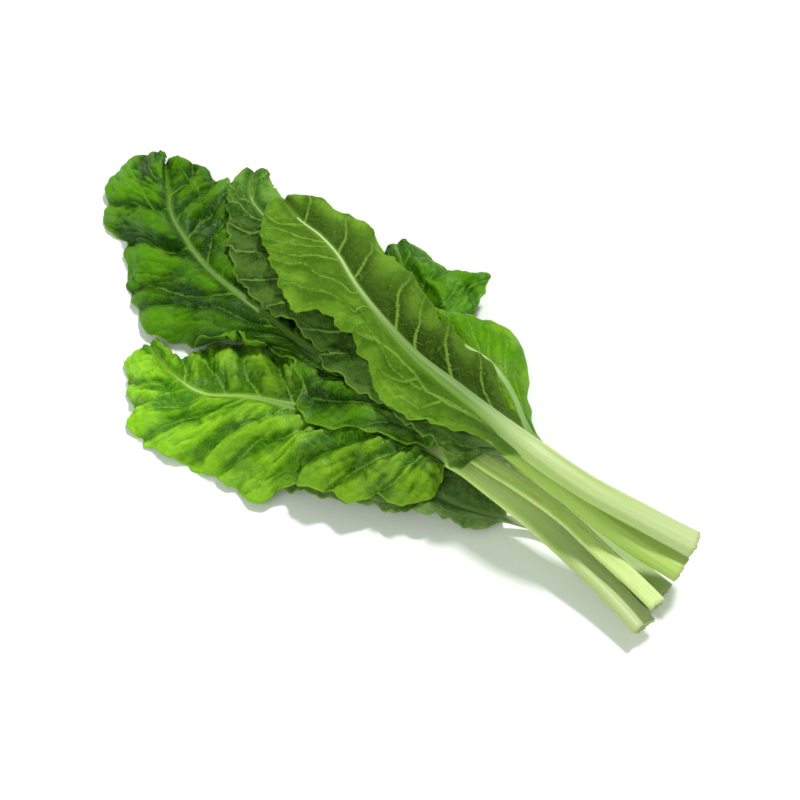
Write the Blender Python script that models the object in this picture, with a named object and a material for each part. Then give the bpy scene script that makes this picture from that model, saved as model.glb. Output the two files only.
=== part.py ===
# A bunch of Swiss chard lying on a table: seven leaves, each with a pale stalk that runs on as
# the midrib and a green blade. The cut ends of the stalks point along +X, the leaf tips along -X,
# and the table is the plane z = 0. The tables below are in millimetres.
import math
from dataclasses import dataclass

import bpy
import numpy as np

MM = 0.001

# Blade and midrib
BLADE_THICKNESS = 0.8
SLOT_GAP = 0.5  # between the midrib's side and the edge of the blade beside it
BACK_FLAT = 0.87  # share of the stalk's depth at which its round back is a little flat
GROOVE_DEPTH = 0.08  # of the stalk's width, along its face
MIDRIB_END = 0.9  # share of the blade's length where the midrib runs out and the halves join
MIDRIB_TIP_WIDTH = 1.6
MIDRIB_TAPER = 1.9  # how quickly it narrows at first
WING_START = 2.0  # how far the blade stands out of the stalk where it begins

# Mesh steps
ROW_STEP = 9.0
STALK_STEP = 20.0
SIDE_CELLS = 6
STRIP = np.array([-1.0, -0.5, 0.0, 0.5, 1.0])  # columns across the stalk, in half-widths
ROUND_SIDES = 6

# Stacking
CLEARANCE = 1.6  # between one leaf and those below it
CELL = 1.2
GROUND_X = (-330.0, 240.0)
GROUND_Y = (-170.0, 170.0)
SAMPLES = 8  # along a triangle's side
ROUNDS = 70
SPREAD = 0.5  # how much of its neighbours' rise a point takes on in a round
SLUMP = 0.985  # share of a rise that stays after a round
FLAT_SPOT = 0.15  # height of what is pressed flat where the bunch rests

# The tables' zero lies here, seen from the middle of the bunch
MIDDLE = (-49.5, 2.5)


@dataclass(frozen=True)
class Leaf:
    """One leaf. spine runs from the cut end to the tip, left and right from the blade's start to the tip.
    left is the side towards -Y. widths are the stalk's at the cut, at the neck and its depth there."""

    name: str
    spine: tuple
    left: tuple
    right: tuple
    blade_from: float
    widths: tuple
    back_up: bool
    bow_left: tuple
    bow_right: tuple
    ruffle: float
    seed: int
    roll: float = 0.0


# From the lowest leaf to the one that lies on all the others
LEAVES = (
    Leaf(
        name="under_leaf",
        spine=((180, -3, 3.3), (160, -3, 3.3), (140, -2, 3.3), (122, -1, 4), (106, -3, 5), (92, -10, 7),
               (80, -19, 10), (67, -25, 12), (51, -29, 13), (32, -35, 13), (4, -46, 12), (-23, -58, 9),
               (-53, -68, 7)),
        left=((89, -18, 7), (82, -25, 8), (76, -31, 9), (69, -35, 10), (61, -38, 11), (53, -45, 12), (44, -52, 12),
              (35, -56, 12), (13, -70, 12), (-23, -81, 6), (-45, -78, 5)),
        right=((88, -3, 4), (78, 1, 4), (67, 1, 7), (52, 0, 8), (27, -7, 9), (2, -22, 9), (-29, -43, 6), (-48, -58, 4)),
        blade_from=0.36, widths=(8, 4.5, 3.5), back_up=False,
        bow_left=(2, 3, 3), bow_right=(2, 4, 3), ruffle=3.0, seed=3,
    ),
    Leaf(
        name="back_leaf",
        spine=((179, 11, 5), (162, 12, 5), (145, 13, 5), (118, 16, 7), (88, 18, 11), (54, 24, 13), (24, 34, 15),
               (-5, 44, 18), (-34, 59, 20), (-59, 73, 21), (-89, 94, 20)),
        left=((40, 14, 10), (10, 20, 10), (-24, 32, 4), (-58, 48, -2), (-84, 67, 1), (-94, 86, 14)),
        right=((40, 38, 16), (16, 56, 18), (-10, 78, 18), (-22, 95, 18), (-31, 115, 22), (-46, 101, 18),
               (-64, 101, 18), (-84, 101, 19)),
        blade_from=0.42, widths=(12, 11, 6), back_up=False,
        bow_left=(3, 5, 4), bow_right=(3, 6, 5), ruffle=4.5, seed=8,
    ),
    Leaf(
        name="right_leaf",
        spine=((152, 26, 5), (135, 28, 5), (118, 29, 5), (89, 32, 7), (70, 37, 12), (58, 40, 18), (48, 44, 25),
               (38, 46, 32), (25, 48, 36), (7, 47, 38), (-12, 47, 38), (-31, 47, 36)),
        left=((55, 33, 17), (46, 37, 24), (36, 38, 29), (23, 34, 29), (5, 30, 26), (-15, 32, 26),
              (-28, 38, 28)),
        right=((62, 44, 12), (52, 52, 14), (41, 63, 15), (30, 75, 18), (22, 81, 22), (9, 79, 28),
               (-2, 70, 34), (-16, 60, 38), (-27, 54, 38)),
        blade_from=0.42, widths=(10, 7, 5), back_up=False,
        bow_left=(1, 2, 2), bow_right=(3, 6, 4), ruffle=2.0, seed=21,
    ),
    Leaf(
        name="lower_left_leaf",
        spine=((186, -17, 12), (154, -12, 16), (125, -10, 20), (96, -9, 24), (76, -10, 27), (57, -11, 29),
               (38, -15, 29), (13, -21, 27), (-12, -28, 25), (-40, -42, 24), (-65, -55, 24),
               (-87, -68, 20), (-115, -68, 14), (-134, -63, 8), (-150, -57, 4)),
        left=((55, -25, 20), (50, -37, 16), (41, -49, 15), (28, -60, 15), (10, -69, 15), (-4, -76, 14),
              (-14, -78, 12), (-15, -85, 5), (-22, -93, 0), (-36, -95, -1), (-51, -97, -1), (-71, -102, 0),
              (-86, -105, 1), (-99, -108, 1), (-115, -103, 1), (-130, -92, 2), (-144, -81, 2),
              (-151, -72, 3), (-154, -62, 3)),
        right=((38, -3, 26), (13, 0, 25), (-13, 1, 22), (-39, 2, 17), (-68, 1, 12), (-86, -7, 12),
               (-103, -15, 10), (-116, -27, 8), (-126, -37, 6), (-128, -46, 4), (-137, -52, 4), (-144, -53, 3),
               (-152, -51, 3)),
        blade_from=0.38, widths=(16, 15, 7), back_up=False,
        bow_left=(14, 8, 4), bow_right=(4, 5, 3), ruffle=4.0, seed=11, roll=-8,
    ),
    Leaf(
        name="upper_left_leaf",
        spine=((186, -8, 21), (166, -5, 22), (147, -4, 25), (119, -3, 31), (94, -6, 37), (73, -9, 40),
               (49, -10, 41), (22, -10, 40), (-10, -10, 36), (-44, -10, 31), (-76, -9, 28), (-100, -7, 28),
               (-125, -6, 28), (-157, -2, 26), (-186, 7, 24), (-211, 18, 21), (-235, 36, 14),
               (-254, 50, 9), (-262, 56, 7)),
        left=((47, -20, 33), (36, -23, 33), (24, -28, 32), (9, -32, 31), (-3, -37, 30),
              (-8, -44, 28), (-17, -48, 27), (-29, -48, 26), (-40, -41, 25), (-47, -32, 24),
              (-58, -24, 22), (-75, -19, 19), (-91, -20, 16),
              (-106, -35, 9), (-122, -44, 7), (-140, -41, 4), (-148, -47, 2), (-164, -47, 2),
              (-183, -40, 2), (-200, -33, 2), (-208, -24, 2), (-216, -17, 2), (-224, -11, 2),
              (-241, -7, 2), (-252, -4, 1), (-265, 9, 1), (-275, 18, 2), (-283, 36, 2), (-286, 51, 2),
              (-283, 60, 3), (-271, 65, 5)),
        right=((40, 2, 32), (-1, 10, 32), (-49, 18, 28), (-90, 34, 24), (-128, 50, 22), (-167, 58, 20),
               (-201, 60, 16), (-210, 66, 14), (-224, 68, 12), (-236, 69, 11), (-248, 65, 10), (-256, 60, 9)),
        blade_from=0.31, widths=(10, 11, 6), back_up=False,
        bow_left=(3, 6, 6), bow_right=(1, 2, 3), ruffle=3.5, seed=5,
    ),
    Leaf(
        name="middle_leaf",
        spine=((182, 17, 18), (161, 12.5, 23), (139, 7.5, 31), (113, 5, 39), (86, 4, 43), (58, 1, 47),
               (25, 5, 46), (-8, 9, 45), (-48, 18, 42), (-81, 28, 40), (-117, 39, 37), (-148, 46, 32),
               (-165, 51, 29), (-180, 58, 25), (-193, 69, 21), (-203, 82, 18)),
        left=((78, -7, 43), (70, -10, 42), (64, -21, 37), (56, -25, 36), (47, -21, 39), (32, -22, 42),
              (15, -21, 42), (-2, -20, 41), (-16, -21, 38), (-31, -20, 36), (-43, -17, 36), (-51, -10, 36),
              (-65, -8, 36), (-98, -7, 33), (-124, -2, 30), (-144, 7, 27), (-165, 24, 24), (-183, 41, 22),
              (-199, 57, 20), (-206, 70, 19), (-207, 77, 18)),
        right=((70, 13, 42), (48, 18, 40), (31, 23, 40), (-16, 34, 38), (-61, 50, 35), (-113, 69, 30),
               (-153, 76, 26), (-175, 76, 22), (-187, 82, 20), (-197, 86, 19)),
        blade_from=0.25, widths=(17, 16, 7), back_up=True,
        bow_left=(3, 4, 3), bow_right=(3, 4, 3), ruffle=3.5, seed=13,
    ),
    Leaf(
        name="top_leaf",
        spine=((180, 28.5, 25), (152, 18, 35), (125, 8, 45), (100, 3, 52), (68, 2, 57), (35, 3, 60),
               (5, 5, 62), (-25, 13, 61), (-54, 22, 62), (-80, 34, 60), (-101, 42, 55), (-130, 51, 45),
               (-154, 62, 37)),
        left=((70, -7, 47), (47, -14, 46), (34, -19, 43), (19, -22, 38), (1, -20, 38), (-13, -11, 44),
              (-39, -2, 50), (-61, 0, 50), (-79, -5, 46), (-105, 9, 43), (-132, 24, 41),
              (-153, 43, 38), (-160, 56, 36)),
        right=((66, 22, 44), (50, 32, 42), (33, 41, 42), (10, 43, 44), (-10, 47, 43), (-30, 56, 42),
               (-67, 71, 38), (-93, 79, 35), (-118, 84, 35), (-143, 79, 35), (-155, 71, 35)),
        blade_from=0.26, widths=(16.5, 14, 8), back_up=True,
        bow_left=(3, 6, 4), bow_right=(2, 5, 4), ruffle=3.5, seed=2,
    ),
)


def smooth_curve(points, count):
    """count points at equal steps of length on a smooth curve through the given ones."""
    points = np.array(points, float)
    chord = np.concatenate([[0], np.cumsum(np.linalg.norm(np.diff(points, axis=0), axis=1))])
    tangent = np.gradient(points, chord, axis=0)
    at = np.linspace(0, chord[-1], 40 * len(points))
    span = np.clip(np.searchsorted(chord, at, side="right") - 1, 0, len(points) - 2)
    width = (chord[span + 1] - chord[span])[:, None]
    u = (at - chord[span])[:, None] / width
    curve = (
        (2 * u**3 - 3 * u**2 + 1) * points[span]
        + (u**3 - 2 * u**2 + u) * width * tangent[span]
        + (3 * u**2 - 2 * u**3) * points[span + 1]
        + (u**3 - u**2) * width * tangent[span + 1]
    )
    length = np.concatenate([[0], np.cumsum(np.linalg.norm(np.diff(curve, axis=0), axis=1))])
    steps = np.linspace(0, length[-1], count)
    return np.stack([np.interp(steps, length, curve[:, k]) for k in range(3)], axis=1), length[-1]


def unit(vectors):
    return vectors / np.linalg.norm(vectors, axis=-1, keepdims=True)


def eased(x, start, end):
    x = np.clip((x - start) / (end - start), 0, 1)
    return x * x * (3 - 2 * x)


def across(centre, roll):
    """The direction to the right of each point of the spine, level but for the leaf's roll."""
    along = unit(np.gradient(centre, axis=0))
    level = unit(np.cross(along, (0.0, 0.0, 1.0)))
    up = np.cross(level, along)
    angle = math.radians(roll)
    return math.cos(angle) * level + math.sin(angle) * up


def half_widths(leaf, rows_stalk, rows_blade):
    """Half the width of the stalk and midrib at each row, and its depth."""
    cut, neck, depth = leaf.widths
    stalk = np.linspace(cut, neck, rows_stalk + 1)[:-1]
    t = np.linspace(0, 1, rows_blade)
    midrib = MIDRIB_TIP_WIDTH + (neck - MIDRIB_TIP_WIDTH) * np.clip(1 - t / MIDRIB_END, 0, 1) ** MIDRIB_TAPER
    half = np.concatenate([stalk, midrib]) / 2
    deep = np.minimum(np.concatenate([np.full(rows_stalk, float(depth)), depth * (midrib / neck) ** 0.9]),
                      0.92 * half * 2)
    return half, deep


def ruffles(leaf, t, v, side):
    """Rise of the blade's waves: none at the midrib, most at the margin."""
    draw = np.random.default_rng(leaf.seed * 2 + (side > 0))
    phase = draw.uniform(0, 2 * math.pi, 5)
    length = (1 - leaf.blade_from) * smooth_curve(leaf.spine, 2)[1]
    slow, quick = length / 62, length / 37
    edge = np.sin(2 * math.pi * slow * t + phase[0] + 1.2 * np.sin(2 * math.pi * 1.7 * t + phase[1]))
    frill = np.sin(2 * math.pi * quick * t + phase[2] + 0.9 * np.sin(2 * math.pi * 2.3 * t + phase[3]))
    billow = np.sin(2 * math.pi * (length / 48) * (t - 0.22 * v) + phase[4])
    grow = eased(t, 0.0, 0.12) * (1 - 0.7 * eased(t, 0.9, 1.0))
    return leaf.ruffle * grow * (
        0.75 * edge * v**2 + 0.45 * frill * v**3 + 0.35 * billow * np.sin(math.pi * v)
    )


def leaf_grid(leaf, row_step=ROW_STEP, cells=SIDE_CELLS):
    """The leaf's middle surface, before it is laid on the others: rows from the cut end to the tip, and columns
    from the left margin over the stalk or midrib to the right margin."""
    length = smooth_curve(leaf.spine, 2)[1]
    rows_blade = round(length * (1 - leaf.blade_from) / row_step) + 1
    rows_stalk = round(length * leaf.blade_from / STALK_STEP)
    fine = smooth_curve(leaf.spine, 400)[0]
    at = np.concatenate([
        np.linspace(0, leaf.blade_from, rows_stalk + 1)[:-1],
        np.linspace(leaf.blade_from, 1, rows_blade),
    ])
    centre = np.stack([np.interp(at, np.linspace(0, 1, 400), fine[:, k]) for k in range(3)], axis=1)
    sideways = across(centre, leaf.roll)
    half, deep = half_widths(leaf, rows_stalk, rows_blade)
    strip = centre[:, None] + STRIP[None, :, None] * (half[:, None] * sideways)[:, None]
    t = np.linspace(0, 1, rows_blade)
    v = np.linspace(0, 1, cells + 1)
    sides = []
    for side, outline, bow in ((-1, leaf.left, leaf.bow_left), (1, leaf.right, leaf.bow_right)):
        inner = centre + side * (half + SLOT_GAP)[:, None] * sideways
        start = inner[rows_stalk] + side * WING_START * sideways[rows_stalk]
        margin = smooth_curve([start, *outline], rows_blade)[0]
        blade = inner[rows_stalk:, None] * (1 - v)[None, :, None] + margin[:, None] * v[None, :, None]
        arch = np.interp(t, (0, 0.5, 1), bow)[:, None] * np.sin(math.pi * v)[None]
        blade[..., 2] += arch * eased(t, 0, 0.1)[:, None]
        blade[..., 2] += ruffles(leaf, t[:, None], v[None], side)
        folded = np.repeat(inner[:rows_stalk, None], cells + 1, axis=1)
        folded[:] = centre[:rows_stalk, None] + side * (half[:rows_stalk, None] * sideways[:rows_stalk])[:, None]
        sides.append(np.concatenate([folded, blade]))
    grid = np.concatenate([sides[0][:, ::-1], strip, sides[1]], axis=1)
    return grid, half, deep, rows_stalk, sideways


def thicknesses(leaf, grid, half, deep, cells=SIDE_CELLS):
    """How far the leaf reaches below and above its middle surface, at each point of the grid."""
    thin = np.full(grid.shape[:2], BLADE_THICKNESS / 2)
    body = thin.copy()
    body[:, cells + 1:cells + 6] = deep[:, None] * np.minimum(np.sqrt(1 - 0.96 * STRIP**2), BACK_FLAT)
    return (thin, body) if leaf.back_up else (body, thin)


def triangles_of(rows, cols):
    corner = np.arange(rows * cols).reshape(rows, cols)
    a, b, c, d = corner[:-1, :-1], corner[1:, :-1], corner[1:, 1:], corner[:-1, 1:]
    return np.concatenate([np.stack([a, b, c], -1).reshape(-1, 3), np.stack([a, c, d], -1).reshape(-1, 3)])


def sample_weights(samples):
    """Barycentric weights of points spread evenly over a triangle."""
    found = [(i, j, samples - i - j) for i in range(samples + 1) for j in range(samples + 1 - i)]
    return np.array(found, float) / samples


def cells_under(x, y):
    nx = int((GROUND_X[1] - GROUND_X[0]) / CELL)
    ny = int((GROUND_Y[1] - GROUND_Y[0]) / CELL)
    i = np.clip(((x - GROUND_X[0]) / CELL).astype(int), 0, nx - 1)
    j = np.clip(((y - GROUND_Y[0]) / CELL).astype(int), 0, ny - 1)
    return i, j


def empty_ground():
    shape = (int((GROUND_X[1] - GROUND_X[0]) / CELL), int((GROUND_Y[1] - GROUND_Y[0]) / CELL))
    return np.full(shape, -CLEARANCE)


def widened(ground):
    """Each cell takes the height of the highest cell next to it."""
    padded = np.pad(ground, 1, mode="edge")
    rows, cols = ground.shape
    near = [padded[i:i + rows, j:j + cols] for i in range(3) for j in range(3)]
    return np.max(near, axis=0)


def softened(lift, cells, rows_stalk):
    """The lift evened out with that of the neighbours. The stalk rises as one across its width and bends least."""
    padded = np.pad(lift, 1, mode="edge")
    near = (padded[2:, 1:-1] + padded[:-2, 1:-1] + padded[1:-1, 2:] + padded[1:-1, :-2]) / 4
    lift = lift + SPREAD * (near - lift)
    strip = lift[:, cells + 1:cells + 6].max(axis=1)
    for _ in range(3):
        ends = np.pad(strip, 1, mode="edge")
        strip = strip + 0.5 * ((ends[2:] + ends[:-2]) / 2 - strip)
    lift[:, cells + 1:cells + 6] = strip[:, None]
    lift[:rows_stalk] = strip[:rows_stalk, None]
    return lift


def lifted_clear(grid, under, ground, cells, rows_stalk, rounds=ROUNDS, samples=SAMPLES):
    """How far each point of the leaf rises to lie on what is below it. A rise spreads along the leaf and
    slumps a little each round, and what is still too low rises again."""
    rows, cols = grid.shape[:2]
    triangles = triangles_of(rows, cols)
    weights = sample_weights(samples)
    share = weights / (weights**2).sum(axis=1, keepdims=True)
    flat = grid.reshape(-1, 3)
    plan = np.einsum("sk,tkc->tsc", weights, flat[triangles][..., :2])
    cell = cells_under(plan[..., 0], plan[..., 1])
    floor = widened(ground)[cell] + CLEARANCE
    low = flat[:, 2] - under.reshape(-1)
    lift = np.zeros((rows, cols))
    for turn in range(rounds):
        if turn < rounds - 6:
            lift = SLUMP * softened(lift, cells, rows_stalk)
        height = np.einsum("sk,tk->ts", weights, (low + lift.reshape(-1))[triangles])
        short = np.maximum(floor - height, 0)
        need = np.zeros(rows * cols)
        for k in range(3):
            np.maximum.at(need, triangles[:, k], (short * share[:, k]).max(axis=1))
        lift += need.reshape(rows, cols)
        strip = lift[:, cells + 1:cells + 6].max(axis=1)
        lift[:, cells + 1:cells + 6] = strip[:, None]
        lift[:rows_stalk] = strip[:rows_stalk, None]
    return lift


def cover(ground, grid, over):
    """Raises the ground to the top of this leaf."""
    triangles = triangles_of(*grid.shape[:2])
    weights = sample_weights(SAMPLES)
    flat = grid.reshape(-1, 3).copy()
    flat[:, 2] += over.reshape(-1)
    points = np.einsum("sk,tkc->tsc", weights, flat[triangles]).reshape(-1, 3)
    np.maximum.at(ground, cells_under(points[:, 0], points[:, 1]), points[:, 2])


def stacked_leaves():
    """Each leaf's grid where it lies in the bunch, from the lowest leaf up."""
    ground = empty_ground()
    stack = []
    for leaf in LEAVES:
        grid, half, deep, rows_stalk, sideways = leaf_grid(leaf)
        under, over = thicknesses(leaf, grid, half, deep)
        grid[..., 2] += lifted_clear(grid, under, ground, SIDE_CELLS, rows_stalk)
        cover(ground, grid, over)
        stack.append((leaf, grid, half, deep, rows_stalk, sideways))
    return stack


def thickened(points, triangles, thickness):
    """A thin closed solid round a sheet: both faces split alike, with walls along the sheet's edges."""
    corners = points[triangles]
    facing = np.cross(corners[:, 1] - corners[:, 0], corners[:, 2] - corners[:, 0])
    normal = np.zeros_like(points)
    for k in range(3):
        np.add.at(normal, triangles[:, k], facing)
    normal = unit(normal) * thickness / 2
    count = len(points)
    sides = {}
    for a, b, c in triangles.tolist():
        for edge in ((a, b), (b, c), (c, a)):
            sides[edge] = True
    walls = []
    for a, b in sides:
        if (b, a) not in sides:
            walls += [(b, a, a + count), (b, a + count, b + count)]
    faces = np.concatenate([triangles, triangles[:, ::-1] + count, np.array(walls)])
    return np.concatenate([points + normal, points - normal]), faces


def blade_sheet(grid, rows_stalk, join, cells=SIDE_CELLS):
    """The two halves of the blade, which meet beyond the midrib's end."""
    blade = grid[rows_stalk:]
    left, centre, right = blade[:, cells::-1], blade[:, cells + 3], blade[:, cells + 6:]
    rows = len(blade)
    points = [*left.reshape(-1, 3), *right.reshape(-1, 3)]
    width = cells + 1
    left_at = np.arange(rows * width).reshape(rows, width)
    right_at = left_at + rows * width
    for row in range(join, rows):
        points[left_at[row, 0]] = centre[row]
        right_at[row, 0] = left_at[row, 0]
    faces = []
    for at, turn in ((left_at, 1), (right_at, -1)):
        a, b, c, d = at[:-1, :-1], at[1:, :-1], at[1:, 1:], at[:-1, 1:]
        made = np.concatenate([np.stack([a, b, c], -1).reshape(-1, 3), np.stack([a, c, d], -1).reshape(-1, 3)])
        faces.append(made[:, ::turn])
    faces = np.concatenate(faces)
    used = np.unique(faces)
    place = np.zeros(len(points), int)
    place[used] = np.arange(len(used))
    return np.array(points)[used], place[faces]


def stalk_rings(leaf, grid, half, deep, sideways, count, cells=SIDE_CELLS):
    """Cross-sections of the stalk and midrib: round on the leaf's back, with a shallow groove on its face."""
    centre = grid[:count, cells + 3]
    along = unit(np.gradient(centre, axis=0))
    right = unit(sideways[:count] - along * (sideways[:count] * along).sum(axis=1, keepdims=True))
    up = np.cross(right, along)
    if leaf.back_up:
        up = -up
    rings = []
    for k in range(ROUND_SIDES + 1):
        angle = math.pi * k / ROUND_SIDES
        rings.append(
            centre + right * (half[:count] * math.cos(angle))[:, None]
            - up * (deep[:count] * min(math.sin(angle), BACK_FLAT))[:, None]
        )
    for edge in (-0.62, 0.0, 0.62):
        groove = GROOVE_DEPTH * 2 * half[:count] * (1 - edge**2)
        rings.append(centre + right * (half[:count] * edge)[:, None] - up * groove[:, None])
    rings = np.stack(rings, axis=1)
    return rings[:, ::-1] if leaf.back_up else rings


def tube(rings):
    """A closed solid through the rings, with a flat cap at each end."""
    count, sides = rings.shape[:2]
    at = np.arange(count * sides).reshape(count, sides)
    after = np.roll(at, -1, axis=1)
    a, b, c, d = at[:-1], after[:-1], after[1:], at[1:]
    faces = [*np.stack([a, b, c], -1).reshape(-1, 3), *np.stack([a, c, d], -1).reshape(-1, 3)]
    first, last = count * sides, count * sides + 1
    faces += [(first, after[0, k], at[0, k]) for k in range(sides)]
    faces += [(last, at[-1, k], after[-1, k]) for k in range(sides)]
    points = np.concatenate([rings.reshape(-1, 3), rings[:1].mean(axis=1), rings[-1:].mean(axis=1)])
    return points, np.array(faces)


def material(name, colour, roughness):
    made = bpy.data.materials.new(name)
    made.use_nodes = True
    shader = made.node_tree.nodes["Principled BSDF"]
    shader.inputs["Base Color"].default_value = (*colour, 1)
    shader.inputs["Roughness"].default_value = roughness
    shader.inputs["Metallic"].default_value = 0
    return made


def add_object(name, points, faces, paint):
    points = points.copy()
    points[:, 2] = np.maximum(points[:, 2] - FLAT_SPOT, 0)
    points[:, :2] -= MIDDLE
    mesh = bpy.data.meshes.new(name)
    mesh.from_pydata((points * MM).tolist(), [], faces.tolist())
    mesh.validate()
    mesh.materials.append(paint)
    mesh.shade_smooth()
    made = bpy.data.objects.new(name, mesh)
    bpy.context.scene.collection.objects.link(made)
    return made


def clear_scene():
    for old in list(bpy.data.objects):
        bpy.data.objects.remove(old, do_unlink=True)


def main():
    clear_scene()
    stalk_paint = material("stalk", (0.62, 0.78, 0.36), 0.4)
    blade_paint = material("blade", (0.09, 0.27, 0.04), 0.4)
    for leaf, grid, half, deep, rows_stalk, sideways in stacked_leaves():
        rows_blade = len(grid) - rows_stalk
        join = round(MIDRIB_END * (rows_blade - 1))
        rings = stalk_rings(leaf, grid, half, deep, sideways, rows_stalk + join)
        add_object(leaf.name + "_stalk", *tube(rings), stalk_paint)
        sheet = blade_sheet(grid, rows_stalk, join)
        add_object(leaf.name + "_blade", *thickened(*sheet, BLADE_THICKNESS), blade_paint)


main()
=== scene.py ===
import math
from dataclasses import dataclass

import bpy
import numpy as np
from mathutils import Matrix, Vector, kdtree


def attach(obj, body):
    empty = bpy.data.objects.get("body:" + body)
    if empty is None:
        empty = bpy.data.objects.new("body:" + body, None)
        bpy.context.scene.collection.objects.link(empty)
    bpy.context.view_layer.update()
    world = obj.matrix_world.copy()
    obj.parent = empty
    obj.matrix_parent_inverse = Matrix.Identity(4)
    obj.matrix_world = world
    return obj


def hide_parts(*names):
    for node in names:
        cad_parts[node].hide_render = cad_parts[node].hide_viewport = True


MM = 0.001

# Blade and midrib, as in the CAD part
BACK_FLAT = 0.87
SIDE_ROUND = 0.96  # how nearly the round back comes down to nothing at its sides
MIDRIB_END = 0.9
MIDRIB_TIP_WIDTH = 1.6
MIDRIB_TAPER = 1.9
DEPTH_TAPER = 0.9
MOST_DEPTH = 0.92  # of the midrib's width
WING_START = 2.0
EDGE_WAVE, FRILL_WAVE, BILLOW_WAVE = 62, 37, 48
STRIP = np.array([-1.0, -0.5, 0.0, 0.5, 1.0])

# Stacking, as in the CAD part
CELL = 1.2
GROUND_X = (-330.0, 240.0)
GROUND_Y = (-170.0, 170.0)
GROUND_SHAPE = tuple(int((high - low) / CELL) for low, high in (GROUND_X, GROUND_Y))
SPREAD = 0.5
SLUMP = 0.985
LAST_ROUNDS = 6  # only lift, and don't spread or slump
FLAT_SPOT = 0.15
MIDDLE = (-49.5, 2.5)

# Fine forms of the shown leaves
SPINE_POINTS = 400
VEIN_POINTS, BRANCH_POINTS, MAIN_POINTS, FOLD_POINTS = 160, 50, 120, 80
WING_FADE = 16.0  # length over which the blade comes out of the stalk's side
NEAR_RIB = (0.5, 9.0)  # where the relief begins and is in full, from the midrib
WIDE_ENOUGH = (4, 14)  # widths of blade at which the margin's forms begin and are in full
MARGIN_REACH = 8.0  # how far in the margin's frills and droop are felt
PUFF_REACH, CREASE_REACH, ROUNDING = 6.0, 2.6, 1.4
WARP_SIZE, WRINKLE_SIZE, CROSS_SIZE, SWELL_SIZE = 22, 6.5, 8.0, 30
NOTCH_WAVES = (14, 45, 6.5, 29)  # the large notches, what bends them, the small ones, what bends these
FRILL_WAVES = (24, 67, 12)  # the frills, what bends them, and the small frills
CORD_HEIGHT = 0.45
HANG_FROM, MOST_HANG = 0.8, 5
ROLL_LEFT = 0.3  # share of the relief that a rolled margin keeps
DIP, CROSSING = 0.42, 0.45  # shares of the midrib's depth
LEAST_LIFT, LOWEST_BACK, LOWEST_TOP = 0.1, 0.03, 0.2
ROUGHNESS = 0.16  # of the cut
CUT_RINGS = ((0.95, 0.35), (0.86, 0.1), (0.66, -0.5), (0.42, -0.9), (0.2, -1.0))
TIP_LENGTH = 1.5
BACK_POINTS = 30
FACE_POINTS = 12
GROOVE_DEPTH = 0.08
SPOTTED = "upper_left_leaf"

# Camera at the photograph's viewing angle
CAMERA_AT = (0.4290, -0.4167, 0.6943)
CAMERA_TURN = math.radians(42.5)
CAMERA_RISE = math.radians(50.0)
LENS = 70.0
SENSOR = 36.0
CLIP_START = 0.01

# Each sun's name, strength, spread in degrees, direction and colour
SUNS = (
    ("key_light", 3.0, 9, (0.11, -0.5, -0.8), (1.0, 0.98, 1.0)),
    ("front_light", 1.6, 55, (-0.2, 0.82, -0.58), (0.93, 1.0, 0.9)),
)
SURROUND_COLOUR = (0.86, 1.0, 0.82, 1)
SURROUND_STRENGTH = 0.4
FLOOR_SIZE = 6.0


@dataclass(frozen=True)
class Mesh:
    """How finely a leaf is divided, and how closely it is laid on the others."""

    row_step: float
    stalk_step: float
    cells: int  # across one side of the blade
    gap: float  # from the midrib's side to the blade's inner edge
    thickness: float
    clearance: float
    rounds: int
    samples: int  # along a triangle's side, where the leaf is tested against what is below it
    cover_samples: int  # the same, where it becomes the ground for the next leaf


COARSE = Mesh(row_step=9.0, stalk_step=20.0, cells=6, gap=0.5, thickness=0.8, clearance=1.6,
              rounds=70, samples=8, cover_samples=8)
FINE = Mesh(row_step=1.1, stalk_step=2.5, cells=48, gap=-1.2, thickness=0.6, clearance=0.9,
            rounds=36, samples=1, cover_samples=5)


@dataclass(frozen=True)
class Leaf:
    """One leaf. spine runs from the cut end to the tip, left and right from the blade's start to the tip.
    left is the side towards -Y. widths are the stalk's at the cut, at the neck and its depth there."""

    name: str
    spine: tuple
    left: tuple
    right: tuple
    blade_from: float
    widths: tuple
    back_up: bool
    bow_left: tuple
    bow_right: tuple
    ruffle: float
    seed: int
    roll: float = 0.0


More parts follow.
